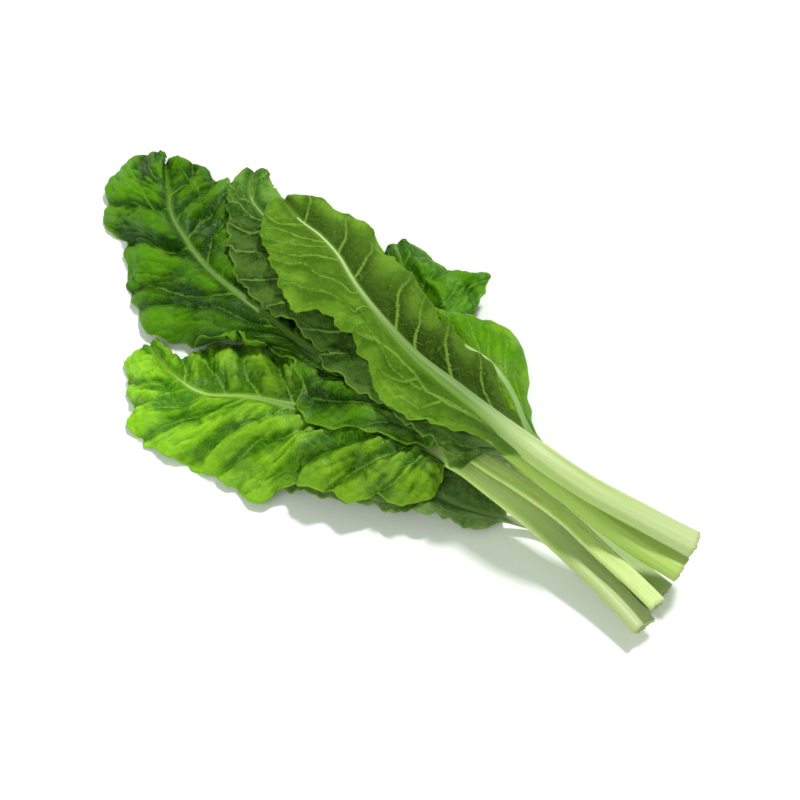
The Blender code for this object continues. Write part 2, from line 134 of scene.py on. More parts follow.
# From the lowest leaf to the one that lies on all the others
LEAVES = (
    Leaf(
        name="under_leaf",
        spine=((180, -3, 3.3), (160, -3, 3.3), (140, -2, 3.3), (122, -1, 4), (106, -3, 5), (92, -10, 7),
               (80, -19, 10), (67, -25, 12), (51, -29, 13), (32, -35, 13), (4, -46, 12), (-23, -58, 9),
               (-53, -68, 7)),
        left=((89, -18, 7), (82, -25, 8), (76, -31, 9), (69, -35, 10), (61, -38, 11), (53, -45, 12),
              (44, -52, 12), (35, -56, 12), (13, -70, 12), (-23, -81, 6), (-45, -78, 5)),
        right=((88, -3, 4), (78, 1, 4), (67, 1, 7), (52, 0, 8), (27, -7, 9), (2, -22, 9), (-29, -43, 6),
               (-48, -58, 4)),
        blade_from=0.36, widths=(8, 4.5, 3.5), back_up=False,
        bow_left=(2, 3, 3), bow_right=(2, 4, 3), ruffle=3.0, seed=3,
    ),
    Leaf(
        name="back_leaf",
        spine=((179, 11, 5), (162, 12, 5), (145, 13, 5), (118, 16, 7), (88, 18, 11), (54, 24, 13),
               (24, 34, 15), (-5, 44, 18), (-34, 59, 20), (-59, 73, 21), (-89, 94, 20)),
        left=((40, 14, 10), (10, 20, 10), (-24, 32, 4), (-58, 48, -2), (-84, 67, 1), (-94, 86, 14)),
        right=((40, 38, 16), (16, 56, 18), (-10, 78, 18), (-22, 95, 18), (-31, 115, 22), (-46, 101, 18),
               (-64, 101, 18), (-84, 101, 19)),
        blade_from=0.42, widths=(12, 11, 6), back_up=False,
        bow_left=(3, 5, 4), bow_right=(3, 6, 5), ruffle=4.5, seed=8,
    ),
    Leaf(
        name="right_leaf",
        spine=((152, 26, 5), (135, 28, 5), (118, 29, 5), (89, 32, 7), (70, 37, 12), (58, 40, 18),
               (48, 44, 25), (38, 46, 32), (25, 48, 36), (7, 47, 38), (-12, 47, 38), (-31, 47, 36)),
        left=((55, 33, 17), (46, 37, 24), (36, 38, 29), (23, 34, 29), (5, 30, 26), (-15, 32, 26),
              (-28, 38, 28)),
        right=((62, 44, 12), (52, 52, 14), (41, 63, 15), (30, 75, 18), (22, 81, 22), (9, 79, 28),
               (-2, 70, 34), (-16, 60, 38), (-27, 54, 38)),
        blade_from=0.42, widths=(10, 7, 5), back_up=False,
        bow_left=(1, 2, 2), bow_right=(3, 6, 4), ruffle=2.0, seed=21,
    ),
    Leaf(
        name="lower_left_leaf",
        spine=((186, -17, 12), (154, -12, 16), (125, -10, 20), (96, -9, 24), (76, -10, 27), (57, -11, 29),
               (38, -15, 29), (13, -21, 27), (-12, -28, 25), (-40, -42, 24), (-65, -55, 24), (-87, -68, 20),
               (-115, -68, 14), (-134, -63, 8), (-150, -57, 4)),
        left=((55, -25, 20), (50, -37, 16), (41, -49, 15), (28, -60, 15), (10, -69, 15), (-4, -76, 14),
              (-14, -78, 12), (-15, -85, 5), (-22, -93, 0), (-36, -95, -1), (-51, -97, -1), (-71, -102, 0),
              (-86, -105, 1), (-99, -108, 1), (-115, -103, 1), (-130, -92, 2), (-144, -81, 2),
              (-151, -72, 3), (-154, -62, 3)),
        right=((38, -3, 26), (13, 0, 25), (-13, 1, 22), (-39, 2, 17), (-68, 1, 12), (-86, -7, 12),
               (-103, -15, 10), (-116, -27, 8), (-126, -37, 6), (-128, -46, 4), (-137, -52, 4),
               (-144, -53, 3), (-152, -51, 3)),
        blade_from=0.38, widths=(16, 15, 7), back_up=False,
        bow_left=(14, 8, 4), bow_right=(4, 5, 3), ruffle=4.0, seed=11, roll=-8,
    ),
    Leaf(
        name="upper_left_leaf",
        spine=((186, -8, 21), (166, -5, 22), (147, -4, 25), (119, -3, 31), (94, -6, 37), (73, -9, 40),
               (49, -10, 41), (22, -10, 40), (-10, -10, 36), (-44, -10, 31), (-76, -9, 28), (-100, -7, 28),
               (-125, -6, 28), (-157, -2, 26), (-186, 7, 24), (-211, 18, 21), (-235, 36, 14), (-254, 50, 9),
               (-262, 56, 7)),
        left=((47, -20, 33), (36, -23, 33), (24, -28, 32), (9, -32, 31), (-3, -37, 30), (-8, -44, 28),
              (-17, -48, 27), (-29, -48, 26), (-40, -41, 25), (-47, -32, 24), (-58, -24, 22),
              (-75, -19, 19), (-91, -20, 16), (-106, -35, 9), (-122, -44, 7), (-140, -41, 4),
              (-148, -47, 2), (-164, -47, 2), (-183, -40, 2), (-200, -33, 2), (-208, -24, 2),
              (-216, -17, 2), (-224, -11, 2), (-241, -7, 2), (-252, -4, 1), (-265, 9, 1), (-275, 18, 2),
              (-283, 36, 2), (-286, 51, 2), (-283, 60, 3), (-271, 65, 5)),
        right=((40, 2, 32), (-1, 10, 32), (-49, 18, 28), (-90, 34, 24), (-128, 50, 22), (-167, 58, 20),
               (-201, 60, 16), (-210, 66, 14), (-224, 68, 12), (-236, 69, 11), (-248, 65, 10),
               (-256, 60, 9)),
        blade_from=0.31, widths=(10, 11, 6), back_up=False,
        bow_left=(3, 6, 6), bow_right=(1, 2, 3), ruffle=3.5, seed=5,
    ),
    Leaf(
        name="middle_leaf",
        spine=((182, 17, 18), (161, 12.5, 23), (139, 7.5, 31), (113, 5, 39), (86, 4, 43), (58, 1, 47),
               (25, 5, 46), (-8, 9, 45), (-48, 18, 42), (-81, 28, 40), (-117, 39, 37), (-148, 46, 32),
               (-165, 51, 29), (-180, 58, 25), (-193, 69, 21), (-203, 82, 18)),
        left=((78, -7, 43), (70, -10, 42), (64, -21, 37), (56, -25, 36), (47, -21, 39), (32, -22, 42),
              (15, -21, 42), (-2, -20, 41), (-16, -21, 38), (-31, -20, 36), (-43, -17, 36), (-51, -10, 36),
              (-65, -8, 36), (-98, -7, 33), (-124, -2, 30), (-144, 7, 27), (-165, 24, 24), (-183, 41, 22),
              (-199, 57, 20), (-206, 70, 19), (-207, 77, 18)),
        right=((70, 13, 42), (48, 18, 40), (31, 23, 40), (-16, 34, 38), (-61, 50, 35), (-113, 69, 30),
               (-153, 76, 26), (-175, 76, 22), (-187, 82, 20), (-197, 86, 19)),
        blade_from=0.25, widths=(17, 16, 7), back_up=True,
        bow_left=(3, 4, 3), bow_right=(3, 4, 3), ruffle=3.5, seed=13,
    ),
    Leaf(
        name="top_leaf",
        spine=((180, 28.5, 25), (152, 18, 35), (125, 8, 45), (100, 3, 52), (68, 2, 57), (35, 3, 60),
               (5, 5, 62), (-25, 13, 61), (-54, 22, 62), (-80, 34, 60), (-101, 42, 55), (-130, 51, 45),
               (-154, 62, 37)),
        left=((70, -7, 47), (47, -14, 46), (34, -19, 43), (19, -22, 38), (1, -20, 38), (-13, -11, 44),
              (-39, -2, 50), (-61, 0, 50), (-79, -5, 46), (-105, 9, 43), (-132, 24, 41), (-153, 43, 38),
              (-160, 56, 36)),
        right=((66, 22, 44), (50, 32, 42), (33, 41, 42), (10, 43, 44), (-10, 47, 43), (-30, 56, 42),
               (-67, 71, 38), (-93, 79, 35), (-118, 84, 35), (-143, 79, 35), (-155, 71, 35)),
        blade_from=0.26, widths=(16.5, 14, 8), back_up=True,
        bow_left=(3, 6, 4), bow_right=(2, 5, 4), ruffle=3.5, seed=2,
    ),
)


@dataclass(frozen=True)
class Look:
    """How one blade looks. A vein is where it lies along the blade at 0, 1/4, 1/2, 3/4 and all of the way
    from the midrib to the margin. deep and bright are the colours of the green. rib has the midrib's
    colours near the blade's start and near the tip, stalk is the stalk's. puff, crinkle, frill and scallop
    say how high the puffs between the veins, the crumples, the margin's waves and its notches are, and
    blister how wide the crumples. shine is the face's roughness. across is painted light and shade: how light
    each side is painted beside the midrib and at the margin. The stalk's painted light and shade says how
    light the stalk is painted near the cut and further on. A painted shade says how dark or light a side is
    painted along the blade, for the shade and light that fall on it: from, to, before it, after it. droop is
    the share of its height by which the left and the right margin hang down to the table. A fold is (side,
    points along and across the blade, height, half its width). A roll is (side, from, to, width, radius). A
    lobe is (side, place along the margin, half its length, how far it stands out). extra has veins of their
    own: (side, points along and across the blade)."""

    veins_left: tuple
    veins_right: tuple
    deep: tuple
    bright: tuple
    rib: tuple
    stalk: tuple
    puff: float
    crinkle: float
    blister: float
    frill: float
    shine: float
    scallop: float = 0.6
    across: tuple = ((1.0, 1.0), (1.0, 1.0))
    stalk_painted_light: tuple = (1.0, 1.0)
    painted_shade_left: tuple = (0.0, 1.0, 1.0, 1.0)
    painted_shade_right: tuple = (0.0, 1.0, 1.0, 1.0)
    droop: tuple = (0.0, 0.0)
    folds: tuple = ()
    rolls: tuple = ()
    lobes: tuple = ()
    extra: tuple = ()


def per_cent(*veins):
    """Side veins given in per cent of the blade's length."""
    return tuple(tuple(place / 100 for place in vein) for vein in veins)


def even_veins(count):
    """Side veins at even steps, for a side of a blade that is mostly hidden."""
    starts = np.linspace(0.05, 0.88, count)
    return tuple(tuple(round(s + rise, 3) for rise in (0, 0.045, 0.08, 0.1, 0.12)) for s in starts)


LOOKS = {
    "under_leaf": Look(
        veins_left=even_veins(5), veins_right=even_veins(5),
        # Painted shade: the under leaf's blade, midrib and stalk are painted dark for the shade of the leaves
        # above it.
        deep=(0.075, 0.165, 0.03), bright=(0.19, 0.32, 0.085), rib=((0.15, 0.24, 0.07), (0.15, 0.24, 0.07)),
        stalk=(0.17, 0.24, 0.08),
        puff=2.0, crinkle=0.6, blister=10, frill=1.2, shine=0.5, scallop=1.0,
    ),
    "back_leaf": Look(
        veins_left=even_veins(6), veins_right=even_veins(6),
        deep=(0.045, 0.18, 0.002), bright=(0.14, 0.4, 0.006), rib=((0.12, 0.25, 0.03), (0.15, 0.3, 0.04)),
        stalk=(0.3, 0.42, 0.12),
        puff=2.0, crinkle=0.9, blister=9, frill=0.9, shine=0.34,
        folds=((1, ((0.88, 0.32), (0.73, 0.24), (0.56, 0.32)), 3.0, 2.2),
               (1, ((0.62, 0.75), (0.54, 0.95)), -2.5, 3.0)),
    ),
    "right_leaf": Look(
        veins_left=even_veins(5),
        veins_right=per_cent((2, 6, 11, 17, 24), (17, 33.5, 38.5, 45, 53), (37.5, 44, 51, 59, 67),
                             (52, 57, 63, 69, 75), (57, 67, 73, 79, 84), (78, 82, 86, 90, 94)),
        deep=(0.11, 0.33, 0.002), bright=(0.24, 0.52, 0.006), rib=((0.36, 0.52, 0.2), (0.45, 0.6, 0.25)),
        stalk=(0.17, 0.33, 0.05), puff=1.6, crinkle=0.4, blister=12, frill=0.6, shine=0.42, scallop=0.3,
    ),
    "lower_left_leaf": Look(
        veins_left=per_cent((5, 7, 10, 14, 18), (12, 15, 19, 23.5, 28), (20, 24.5, 30, 34.5, 39),
                            (30, 35.5, 48, 51.5, 56), (47, 51, 56, 59, 62), (57.5, 62.5, 66.5, 71.5, 74.5),
                            (69, 71, 75, 80, 84), (80, 81, 84, 88, 92)),
        veins_right=per_cent((8, 13, 19, 25, 31), (20, 25, 31, 38, 44), (34, 39, 44, 50, 55),
                             (46, 51, 56, 61, 66), (55, 61, 66.5, 70, 74), (64, 70, 78, 81, 84),
                             (78, 82, 86, 89, 93)),
        # Painted light and shade: the midrib is dark near the blade's start where the upper left leaf shades
        # it, the stalk is painted lighter further from the cut where the stalks above shade it, and each side
        # is painted darker near the base and lighter towards the tip, the right side darkest.
        deep=(0.06, 0.22, 0.004), bright=(0.33, 0.65, 0.025), rib=((0.06, 0.13, 0.015), (0.4, 0.6, 0.14)),
        stalk=(0.39, 0.48, 0.18),
        puff=4.5, crinkle=1.5, blister=8.5, frill=1.2, shine=0.4, scallop=0.8, stalk_painted_light=(0.95, 1.45),
        painted_shade_left=(0.15, 0.9, 0.68, 1.4), painted_shade_right=(0.3, 0.9, 0.33, 1.08), droop=(0.7, 0.3),
        folds=((-1, ((0.25, 0.25), (0.33, 0.6), (0.39, 1.0)), -6.0, 6.0),
               (-1, ((0.42, 0.2), (0.52, 0.5), (0.58, 0.9)), 2.5, 4.5),
               (-1, ((0.53, 0.1), (0.61, 0.5), (0.67, 0.9)), 2.5, 4.5),
               (-1, ((0.11, 0.3), (0.11, 0.85)), -2.5, 3.0),
               (-1, ((0.17, 0.3), (0.17, 0.75)), -2.0, 3.0),
               (1, ((0.72, 0.1), (0.76, 0.5), (0.78, 0.9)), -3.0, 5.0)),
    ),
    "upper_left_leaf": Look(
        veins_left=per_cent((3, 5, 8, 11, 14), (12, 15, 19, 23, 27), (22, 26, 30, 34, 38),
                            (31, 36, 41, 45, 49), (40, 43, 56.5, 58.5, 61), (52, 54.5, 59, 62.5, 64.5),
                            (68, 69, 71, 73.5, 75), (82, 81, 81.5, 82.5, 84), (90, 91, 93, 95, 97)),
        veins_right=per_cent((12, 17, 23, 30, 36), (24, 30, 35, 41, 47), (36, 41, 46, 51, 57),
                             (48, 53, 57, 61, 66), (62, 69, 71.5, 74.5, 77.5), (71, 74.5, 77, 80, 83),
                             (77, 81, 82.5, 86, 91), (87, 89, 91, 94, 96.5)),
        deep=(0.016, 0.075, 0.002), bright=(0.14, 0.4, 0.006), rib=((0.07, 0.15, 0.025), (0.09, 0.19, 0.032)),
        stalk=(0.47, 0.6, 0.18),
        puff=4.5, crinkle=1.2, blister=10, frill=0.8, shine=0.4, scallop=0.5,
        # Painted shade: each side is darker near the base, the right side most, where the leaves above shade
        # it.
        painted_shade_left=(0.15, 0.9, 0.72, 1.02), painted_shade_right=(0.3, 0.85, 0.45, 0.85), droop=(0.7, 0.0),
        rolls=((-1, 0.35, 0.5, 9.0, 3.0),),
        extra=((-1, ((0.81, 0.24), (0.84, 0.38), (0.86, 0.6), (0.88, 0.85))),
               (1, ((0.82, 0.5), (0.88, 0.46), (0.94, 0.43)))),
    ),
    "middle_leaf": Look(
        veins_left=per_cent((30, 33, 36, 39, 42), (38, 41, 44, 47, 50), (46, 49, 52, 55, 59),
                            (54, 57, 60, 64, 68), (62, 65, 68, 72, 76), (71, 74, 77, 80, 83),
                            (79, 81, 84, 87, 90), (86, 88, 90, 92, 95)),
        veins_right=even_veins(7),
        deep=(0.045, 0.135, 0.012), bright=(0.19, 0.38, 0.06), rib=((0.2, 0.3, 0.1), (0.25, 0.38, 0.12)),
        stalk=(0.36, 0.5, 0.1),
        puff=2.4, crinkle=0.8, blister=10, frill=1.0, shine=0.55, scallop=1.0,
        # Painted shade towards the base, where the top leaf shades it, and painted light towards the tip.
        painted_shade_left=(0.78, 0.92, 0.55, 1.3), painted_shade_right=(0.78, 0.92, 0.55, 1.3),
        folds=((-1, ((0.02, 0.35), (0.07, 0.7), (0.1, 1.0)), -4.0, 3.0),
               (-1, ((0.05, 0.3), (0.12, 0.6), (0.15, 1.0)), 4.0, 2.6),
               (-1, ((0.1, 0.3), (0.17, 0.6), (0.2, 1.0)), -3.5, 2.6),
               (-1, ((0.15, 0.3), (0.21, 0.6), (0.25, 1.0)), 3.5, 2.8)),
        lobes=((-1, 0.33, 3.0, 3.0), (-1, 0.36, 3.0, -3.5), (-1, 0.39, 3.5, 4.0), (-1, 0.43, 3.0, -3.0)),
        extra=((-1, ((0.01, 0.15), (0.03, 0.6), (0.04, 1.0))),
               (-1, ((0.05, 0.25), (0.12, 0.6), (0.15, 1.0))),
               (-1, ((0.15, 0.25), (0.21, 0.6), (0.25, 1.0)))),
    ),
    "top_leaf": Look(
        veins_left=per_cent((5, 15, 42, 47, 51), (50.5, 51, 52, 69, 73), (56, 56, 71, 75.5, 80),
                            (67, 69.5, 73.5, 79, 84), (73, 74.5, 77, 83, 88), (75, 79, 83, 87.5, 92),
                            (85, 85.5, 88, 93, 97)),
        veins_right=per_cent((12, 17, 22, 27, 31), (24, 29.5, 33, 37, 41), (35, 39, 43, 47, 51),
                             (42, 46.5, 51, 55, 59), (60, 62, 66, 73, 77), (69, 73, 78, 82, 86),
                             (86.5, 89, 92.5, 95.5, 98)),
        # The midrib is darker green near the blade's start: partly its own green, partly painted shade.
        deep=(0.1, 0.24, 0.012), bright=(0.22, 0.44, 0.03), rib=((0.12, 0.22, 0.045), (0.5, 0.64, 0.28)),
        stalk=(0.44, 0.53, 0.22),
        puff=2.2, crinkle=0.5, blister=11, frill=0.8, shine=0.55, scallop=0.8,
        # Painted light and shade: the right side is painted darker, most near the base and beside the midrib,
        # and lighter at its margin; the left side darker near the base; the stalk a little darker further
        # from the cut.
        painted_shade_left=(0.1, 0.5, 0.78, 1.05), painted_shade_right=(0.15, 0.8, 0.3, 0.74),
        across=((0.8, 1.1), (0.5, 1.4)), stalk_painted_light=(1.0, 0.95),
        folds=((-1, ((0.43, 0.5), (0.445, 0.8), (0.45, 1.0)), -2.5, 2.5),
               (-1, ((0.485, 0.6), (0.49, 0.8), (0.495, 1.0)), 2.5, 2.5)),
        lobes=((-1, 0.445, 4.0, 3.0), (-1, 0.485, 3.0, -3.5)),
        extra=((-1, ((0.09, 0.02), (0.13, 0.21), (0.2, 0.38), (0.25, 0.35), (0.31, 0.2), (0.37, 0.24),
                     (0.4, 0.38), (0.46, 0.68))),
               (-1, ((0.3, 0.27), (0.31, 0.43), (0.34, 0.57), (0.37, 0.65))),
               (-1, ((0.22, 0.43), (0.25, 0.73), (0.3, 0.74), (0.31, 0.81)))),
    ),
}


# How the CAD part lays one leaf on another

@dataclass
class Form:
    """One leaf's middle surface. The grid's rows run from the cut end to the tip, and its columns from the
    left margin over the stalk or midrib to the right margin. half, deep and sideways are the midrib's half
    width, its depth and its direction to the right at each row."""

    leaf: Leaf
    mesh: Mesh
    grid: np.ndarray
    half: np.ndarray
    deep: np.ndarray
    sideways: np.ndarray
    rows_stalk: int

    def __post_init__(self):
        self.strip = slice(self.mesh.cells + 1, self.mesh.cells + 6)
        self.middle = self.mesh.cells + 3

    def sides(self):
        """The blade's left and right side, with their columns from the midrib to the margin."""
        blade = self.grid[self.rows_stalk:]
        return [blade[:, self.mesh.cells::-1], blade[:, self.mesh.cells + 6:]]

    def midrib_body(self):
        """How far the midrib's body reaches from the middle surface, down to nothing at the midrib's end."""
        body = (1 if self.leaf.back_up else -1) * self.deep[self.rows_stalk:]
        return body * (1 - eased(np.linspace(0, 1, len(body)), MIDRIB_END - 0.03, MIDRIB_END))


def lengths(points):
    """How far along a line each of its points is."""
    return np.concatenate([[0], np.cumsum(np.linalg.norm(np.diff(points, axis=0), axis=1))])


def smooth_curve(points, count):
    """count points at equal steps of length on a smooth curve through the given ones, and its length."""
    points = np.array(points, float)
    chord = lengths(points)
    tangent = np.gradient(points, chord, axis=0)
    at = np.linspace(0, chord[-1], 40 * len(points))
    span = np.clip(np.searchsorted(chord, at, side="right") - 1, 0, len(points) - 2)
    width = (chord[span + 1] - chord[span])[:, None]
    u = (at - chord[span])[:, None] / width
    curve = (
        (2 * u**3 - 3 * u**2 + 1) * points[span]
        + (u**3 - 2 * u**2 + u) * width * tangent[span]
        + (3 * u**2 - 2 * u**3) * points[span + 1]
        + (u**3 - u**2) * width * tangent[span + 1]
    )
    length = lengths(curve)
    steps = np.linspace(0, length[-1], count)
    return np.stack([np.interp(steps, length, curve[:, k]) for k in range(3)], axis=1), length[-1]


def unit(vectors):
    return vectors / np.maximum(np.linalg.norm(vectors, axis=-1, keepdims=True), 1e-9)


def eased(x, start, end):
    x = np.clip((x - start) / (end - start), 0, 1)
    return x * x * (3 - 2 * x)


def across(centre, roll):
    """The direction to the right of each point of the spine, level but for the leaf's roll."""
    along = unit(np.gradient(centre, axis=0))
    level = unit(np.cross(along, (0.0, 0.0, 1.0)))
    up = np.cross(level, along)
    angle = math.radians(roll)
    return math.cos(angle) * level + math.sin(angle) * up


def blade_length(leaf):
    return (1 - leaf.blade_from) * smooth_curve(leaf.spine, 2)[1]


def half_widths(leaf, rows_stalk, rows_blade):
    """Half the width of the stalk and midrib at each row, and its depth."""
    cut, neck, depth = leaf.widths
    stalk = np.linspace(cut, neck, rows_stalk + 1)[:-1]
    t = np.linspace(0, 1, rows_blade)
    midrib = MIDRIB_TIP_WIDTH + (neck - MIDRIB_TIP_WIDTH) * np.clip(1 - t / MIDRIB_END, 0, 1) ** MIDRIB_TAPER
    half = np.concatenate([stalk, midrib]) / 2
    deep = np.concatenate([np.full(rows_stalk, float(depth)), depth * (midrib / neck) ** DEPTH_TAPER])
    return half, np.minimum(deep, MOST_DEPTH * half * 2)


def ruffles(leaf, t, v, side):
    """Rise of the blade's waves: none at the midrib, most at the margin."""
    draw = np.random.default_rng(leaf.seed * 2 + (side > 0))
    phase = draw.uniform(0, 2 * math.pi, 5)
    length = blade_length(leaf)
    slow, quick = length / EDGE_WAVE, length / FRILL_WAVE
    edge = np.sin(2 * math.pi * slow * t + phase[0] + 1.2 * np.sin(2 * math.pi * 1.7 * t + phase[1]))
    frill = np.sin(2 * math.pi * quick * t + phase[2] + 0.9 * np.sin(2 * math.pi * 2.3 * t + phase[3]))
    billow = np.sin(2 * math.pi * (length / BILLOW_WAVE) * (t - 0.22 * v) + phase[4])
    grow = eased(t, 0.0, 0.12) * (1 - 0.7 * eased(t, 0.9, 1.0))
    return leaf.ruffle * grow * (
        0.75 * edge * v**2 + 0.45 * frill * v**3 + 0.35 * billow * np.sin(math.pi * v)
    )


def leaf_rows(leaf, mesh):
    """Where the rows lie, as shares of the spine's length, and how many belong to the stalk and the blade."""
    rows_blade = round(blade_length(leaf) / mesh.row_step) + 1
    rows_stalk = round(smooth_curve(leaf.spine, 2)[1] * leaf.blade_from / mesh.stalk_step)
    at = np.concatenate([
        np.linspace(0, leaf.blade_from, rows_stalk + 1)[:-1],
        np.linspace(leaf.blade_from, 1, rows_blade),
    ])
    return at, rows_stalk, rows_blade


def leaf_form(leaf, mesh):
    """The leaf before it is laid on the others."""
    at, rows_stalk, rows_blade = leaf_rows(leaf, mesh)
    fine = smooth_curve(leaf.spine, SPINE_POINTS)[0]
    step = np.linspace(0, 1, SPINE_POINTS)
    centre = np.stack([np.interp(at, step, fine[:, k]) for k in range(3)], axis=1)
    sideways = across(centre, leaf.roll)
    half, deep = half_widths(leaf, rows_stalk, rows_blade)
    strip = centre[:, None] + STRIP[None, :, None] * (half[:, None] * sideways)[:, None]
    t = np.linspace(0, 1, rows_blade)
    v = np.linspace(0, 1, mesh.cells + 1)
    sides = []
    for side, outline, bow in ((-1, leaf.left, leaf.bow_left), (1, leaf.right, leaf.bow_right)):
        reach = half[rows_stalk] + COARSE.gap + WING_START
        start = centre[rows_stalk] + side * reach * sideways[rows_stalk]
        inner = centre + side * np.maximum(half + mesh.gap, 0.4 * half)[:, None] * sideways
        margin = smooth_curve([start, *outline], rows_blade)[0]
        blade = inner[rows_stalk:, None] * (1 - v)[None, :, None] + margin[:, None] * v[None, :, None]
        arch = np.interp(t, (0, 0.5, 1), bow)[:, None] * np.sin(math.pi * v)[None]
        blade[..., 2] += arch * eased(t, 0, 0.1)[:, None]
        blade[..., 2] += ruffles(leaf, t[:, None], v[None], side)
        beside = (centre + side * (half[:, None] * sideways))[:rows_stalk, None]
        sides.append(np.concatenate([np.repeat(beside, mesh.cells + 1, axis=1), blade]))
    grid = np.concatenate([sides[0][:, ::-1], strip, sides[1]], axis=1)
    return Form(leaf, mesh, grid, half, deep, sideways, rows_stalk)


def thicknesses(form):
    """How far the leaf reaches below and above its middle surface, at each point of the grid."""
    thin = np.full(form.grid.shape[:2], form.mesh.thickness / 2)
    body = thin.copy()
    body[:, form.strip] = form.deep[:, None] * np.minimum(np.sqrt(1 - SIDE_ROUND * STRIP**2), BACK_FLAT)
    return (thin, body) if form.leaf.back_up else (body, thin)


def triangles_of(rows, cols):
    corner = np.arange(rows * cols).reshape(rows, cols)
    a, b, c, d = corner[:-1, :-1], corner[1:, :-1], corner[1:, 1:], corner[:-1, 1:]
    return np.concatenate([np.stack([a, b, c], -1).reshape(-1, 3), np.stack([a, c, d], -1).reshape(-1, 3)])


def sample_weights(samples):
    """Barycentric weights of points spread evenly over a triangle."""
    found = [(i, j, samples - i - j) for i in range(samples + 1) for j in range(samples + 1 - i)]
    return np.array(found, float) / samples


def cells_under(x, y):
    """The cells of the ground below these places."""
    i = np.clip(((x - GROUND_X[0]) / CELL).astype(int), 0, GROUND_SHAPE[0] - 1)
    j = np.clip(((y - GROUND_Y[0]) / CELL).astype(int), 0, GROUND_SHAPE[1] - 1)
    return i, j


def widened(ground):
    """Each cell takes the height of the highest cell next to it."""
    padded = np.pad(ground, 1, mode="edge")
    rows, cols = ground.shape
    near = [padded[i:i + rows, j:j + cols] for i in range(3) for j in range(3)]
    return np.max(near, axis=0)


def stiffened(lift, strip, form):
    """Each row of the stalk and midrib rises as one across its width, by what strip says."""
    lift[:, form.strip] = strip[:, None]
    lift[:form.rows_stalk] = strip[:form.rows_stalk, None]
    return lift


def softened(lift, form):
    """The lift evened out with that of the neighbours. The stalk and midrib bend least."""
    padded = np.pad(lift, 1, mode="edge")
    near = (padded[2:, 1:-1] + padded[:-2, 1:-1] + padded[1:-1, 2:] + padded[1:-1, :-2]) / 4
    lift = lift + SPREAD * (near - lift)
    strip = lift[:, form.strip].max(axis=1)
    for _ in range(3):
        ends = np.pad(strip, 1, mode="edge")
        strip = strip + 0.5 * ((ends[2:] + ends[:-2]) / 2 - strip)
    return stiffened(lift, strip, form)


def lifted_clear(form, under, ground):
    """How far each point of the leaf rises to lie on what is below it. A rise spreads along the leaf and
    slumps a little each round, and what is still too low rises again."""
    rows, cols = form.grid.shape[:2]
    triangles = triangles_of(rows, cols)
    weights = sample_weights(form.mesh.samples)
    share = weights / (weights**2).sum(axis=1, keepdims=True)
    flat = form.grid.reshape(-1, 3)
    plan = np.einsum("sk,tkc->tsc", weights, flat[triangles][..., :2])
    floor = widened(ground)[cells_under(plan[..., 0], plan[..., 1])] + form.mesh.clearance
    low = flat[:, 2] - under.reshape(-1)
    lift = np.zeros((rows, cols))
    for turn in range(form.mesh.rounds):
        if turn < form.mesh.rounds - LAST_ROUNDS:
            lift = SLUMP * softened(lift, form)
        height = np.einsum("sk,tk->ts", weights, (low + lift.reshape(-1))[triangles])
        short = np.maximum(floor - height, 0)
        need = np.zeros(rows * cols)
        for k in range(3):
            np.maximum.at(need, triangles[:, k], (short * share[:, k]).max(axis=1))
        lift += need.reshape(rows, cols)
        stiffened(lift, lift[:, form.strip].max(axis=1), form)
    return lift


def laid(form, ground):
    """Lays the leaf on the ground, raises the ground to the leaf's top and says how far each point rose."""
    under, over = thicknesses(form)
    lift = lifted_clear(form, under, ground)
    form.grid[..., 2] += lift
    flat = form.grid.reshape(-1, 3).copy()
    flat[:, 2] += over.reshape(-1)
    weights = sample_weights(form.mesh.cover_samples)
    points = np.einsum("sk,tkc->tsc", weights, flat[triangles_of(*form.grid.shape[:2])]).reshape(-1, 3)
    np.maximum.at(ground, cells_under(points[:, 0], points[:, 1]), points[:, 2])
    return lift


def coarse_lifts():
    """How far the CAD part raises each leaf, from the lowest leaf up."""
    ground = np.full(GROUND_SHAPE, -COARSE.clearance)
    return [laid(leaf_form(leaf, COARSE), ground) for leaf in LEAVES]


# The fine surface of the shown blades

def spread_lift(leaf, lift):
    """The coarse lift on the fine grid."""
    at, fine_at = leaf_rows(leaf, COARSE)[0], leaf_rows(leaf, FINE)[0]
    place = np.interp(fine_at, at, np.arange(len(at)))
    row = np.clip(place.astype(int), 0, len(at) - 2)
    share = (place - row)[:, None]
    rows = lift[row] * (1 - share) + lift[row + 1] * share
    cells = COARSE.cells
    coarse = np.linspace(0, 1, cells + 1)
    fine = np.linspace(0, 1, FINE.cells + 1)
    left = np.stack([np.interp(fine, coarse, line) for line in rows[:, cells::-1]])
    right = np.stack([np.interp(fine, coarse, line) for line in rows[:, cells + 6:]])
    return np.concatenate([left[:, ::-1], rows[:, cells + 1:cells + 6], right], axis=1)


def vein_places(veins, v):
    """Where each vein lies along the blade at each v, with the blade's two ends as the outermost."""
    steps = np.linspace(0, 1, 5)
    rows = [np.interp(v, steps, vein) for vein in veins]
    return np.array([np.full(len(v), -0.12), *rows, np.full(len(v), 1.12)])


def on_surface(blade, t, v):
    """Points of one side of the blade, given as rows along it and columns from midrib to margin."""
    rows, cols = blade.shape[:2]
    x = np.clip(np.asarray(t, float), 0, 1) * (rows - 1)
    y = np.clip(np.asarray(v, float), 0, 1) * (cols - 1)
    i = np.clip(x.astype(int), 0, rows - 2)
    j = np.clip(y.astype(int), 0, cols - 2)
    a = (x - i)[:, None]
    b = (y - j)[:, None]
    return (blade[i, j] * (1 - a) * (1 - b) + blade[i + 1, j] * a * (1 - b)
            + blade[i, j + 1] * (1 - a) * b + blade[i + 1, j + 1] * a * b)


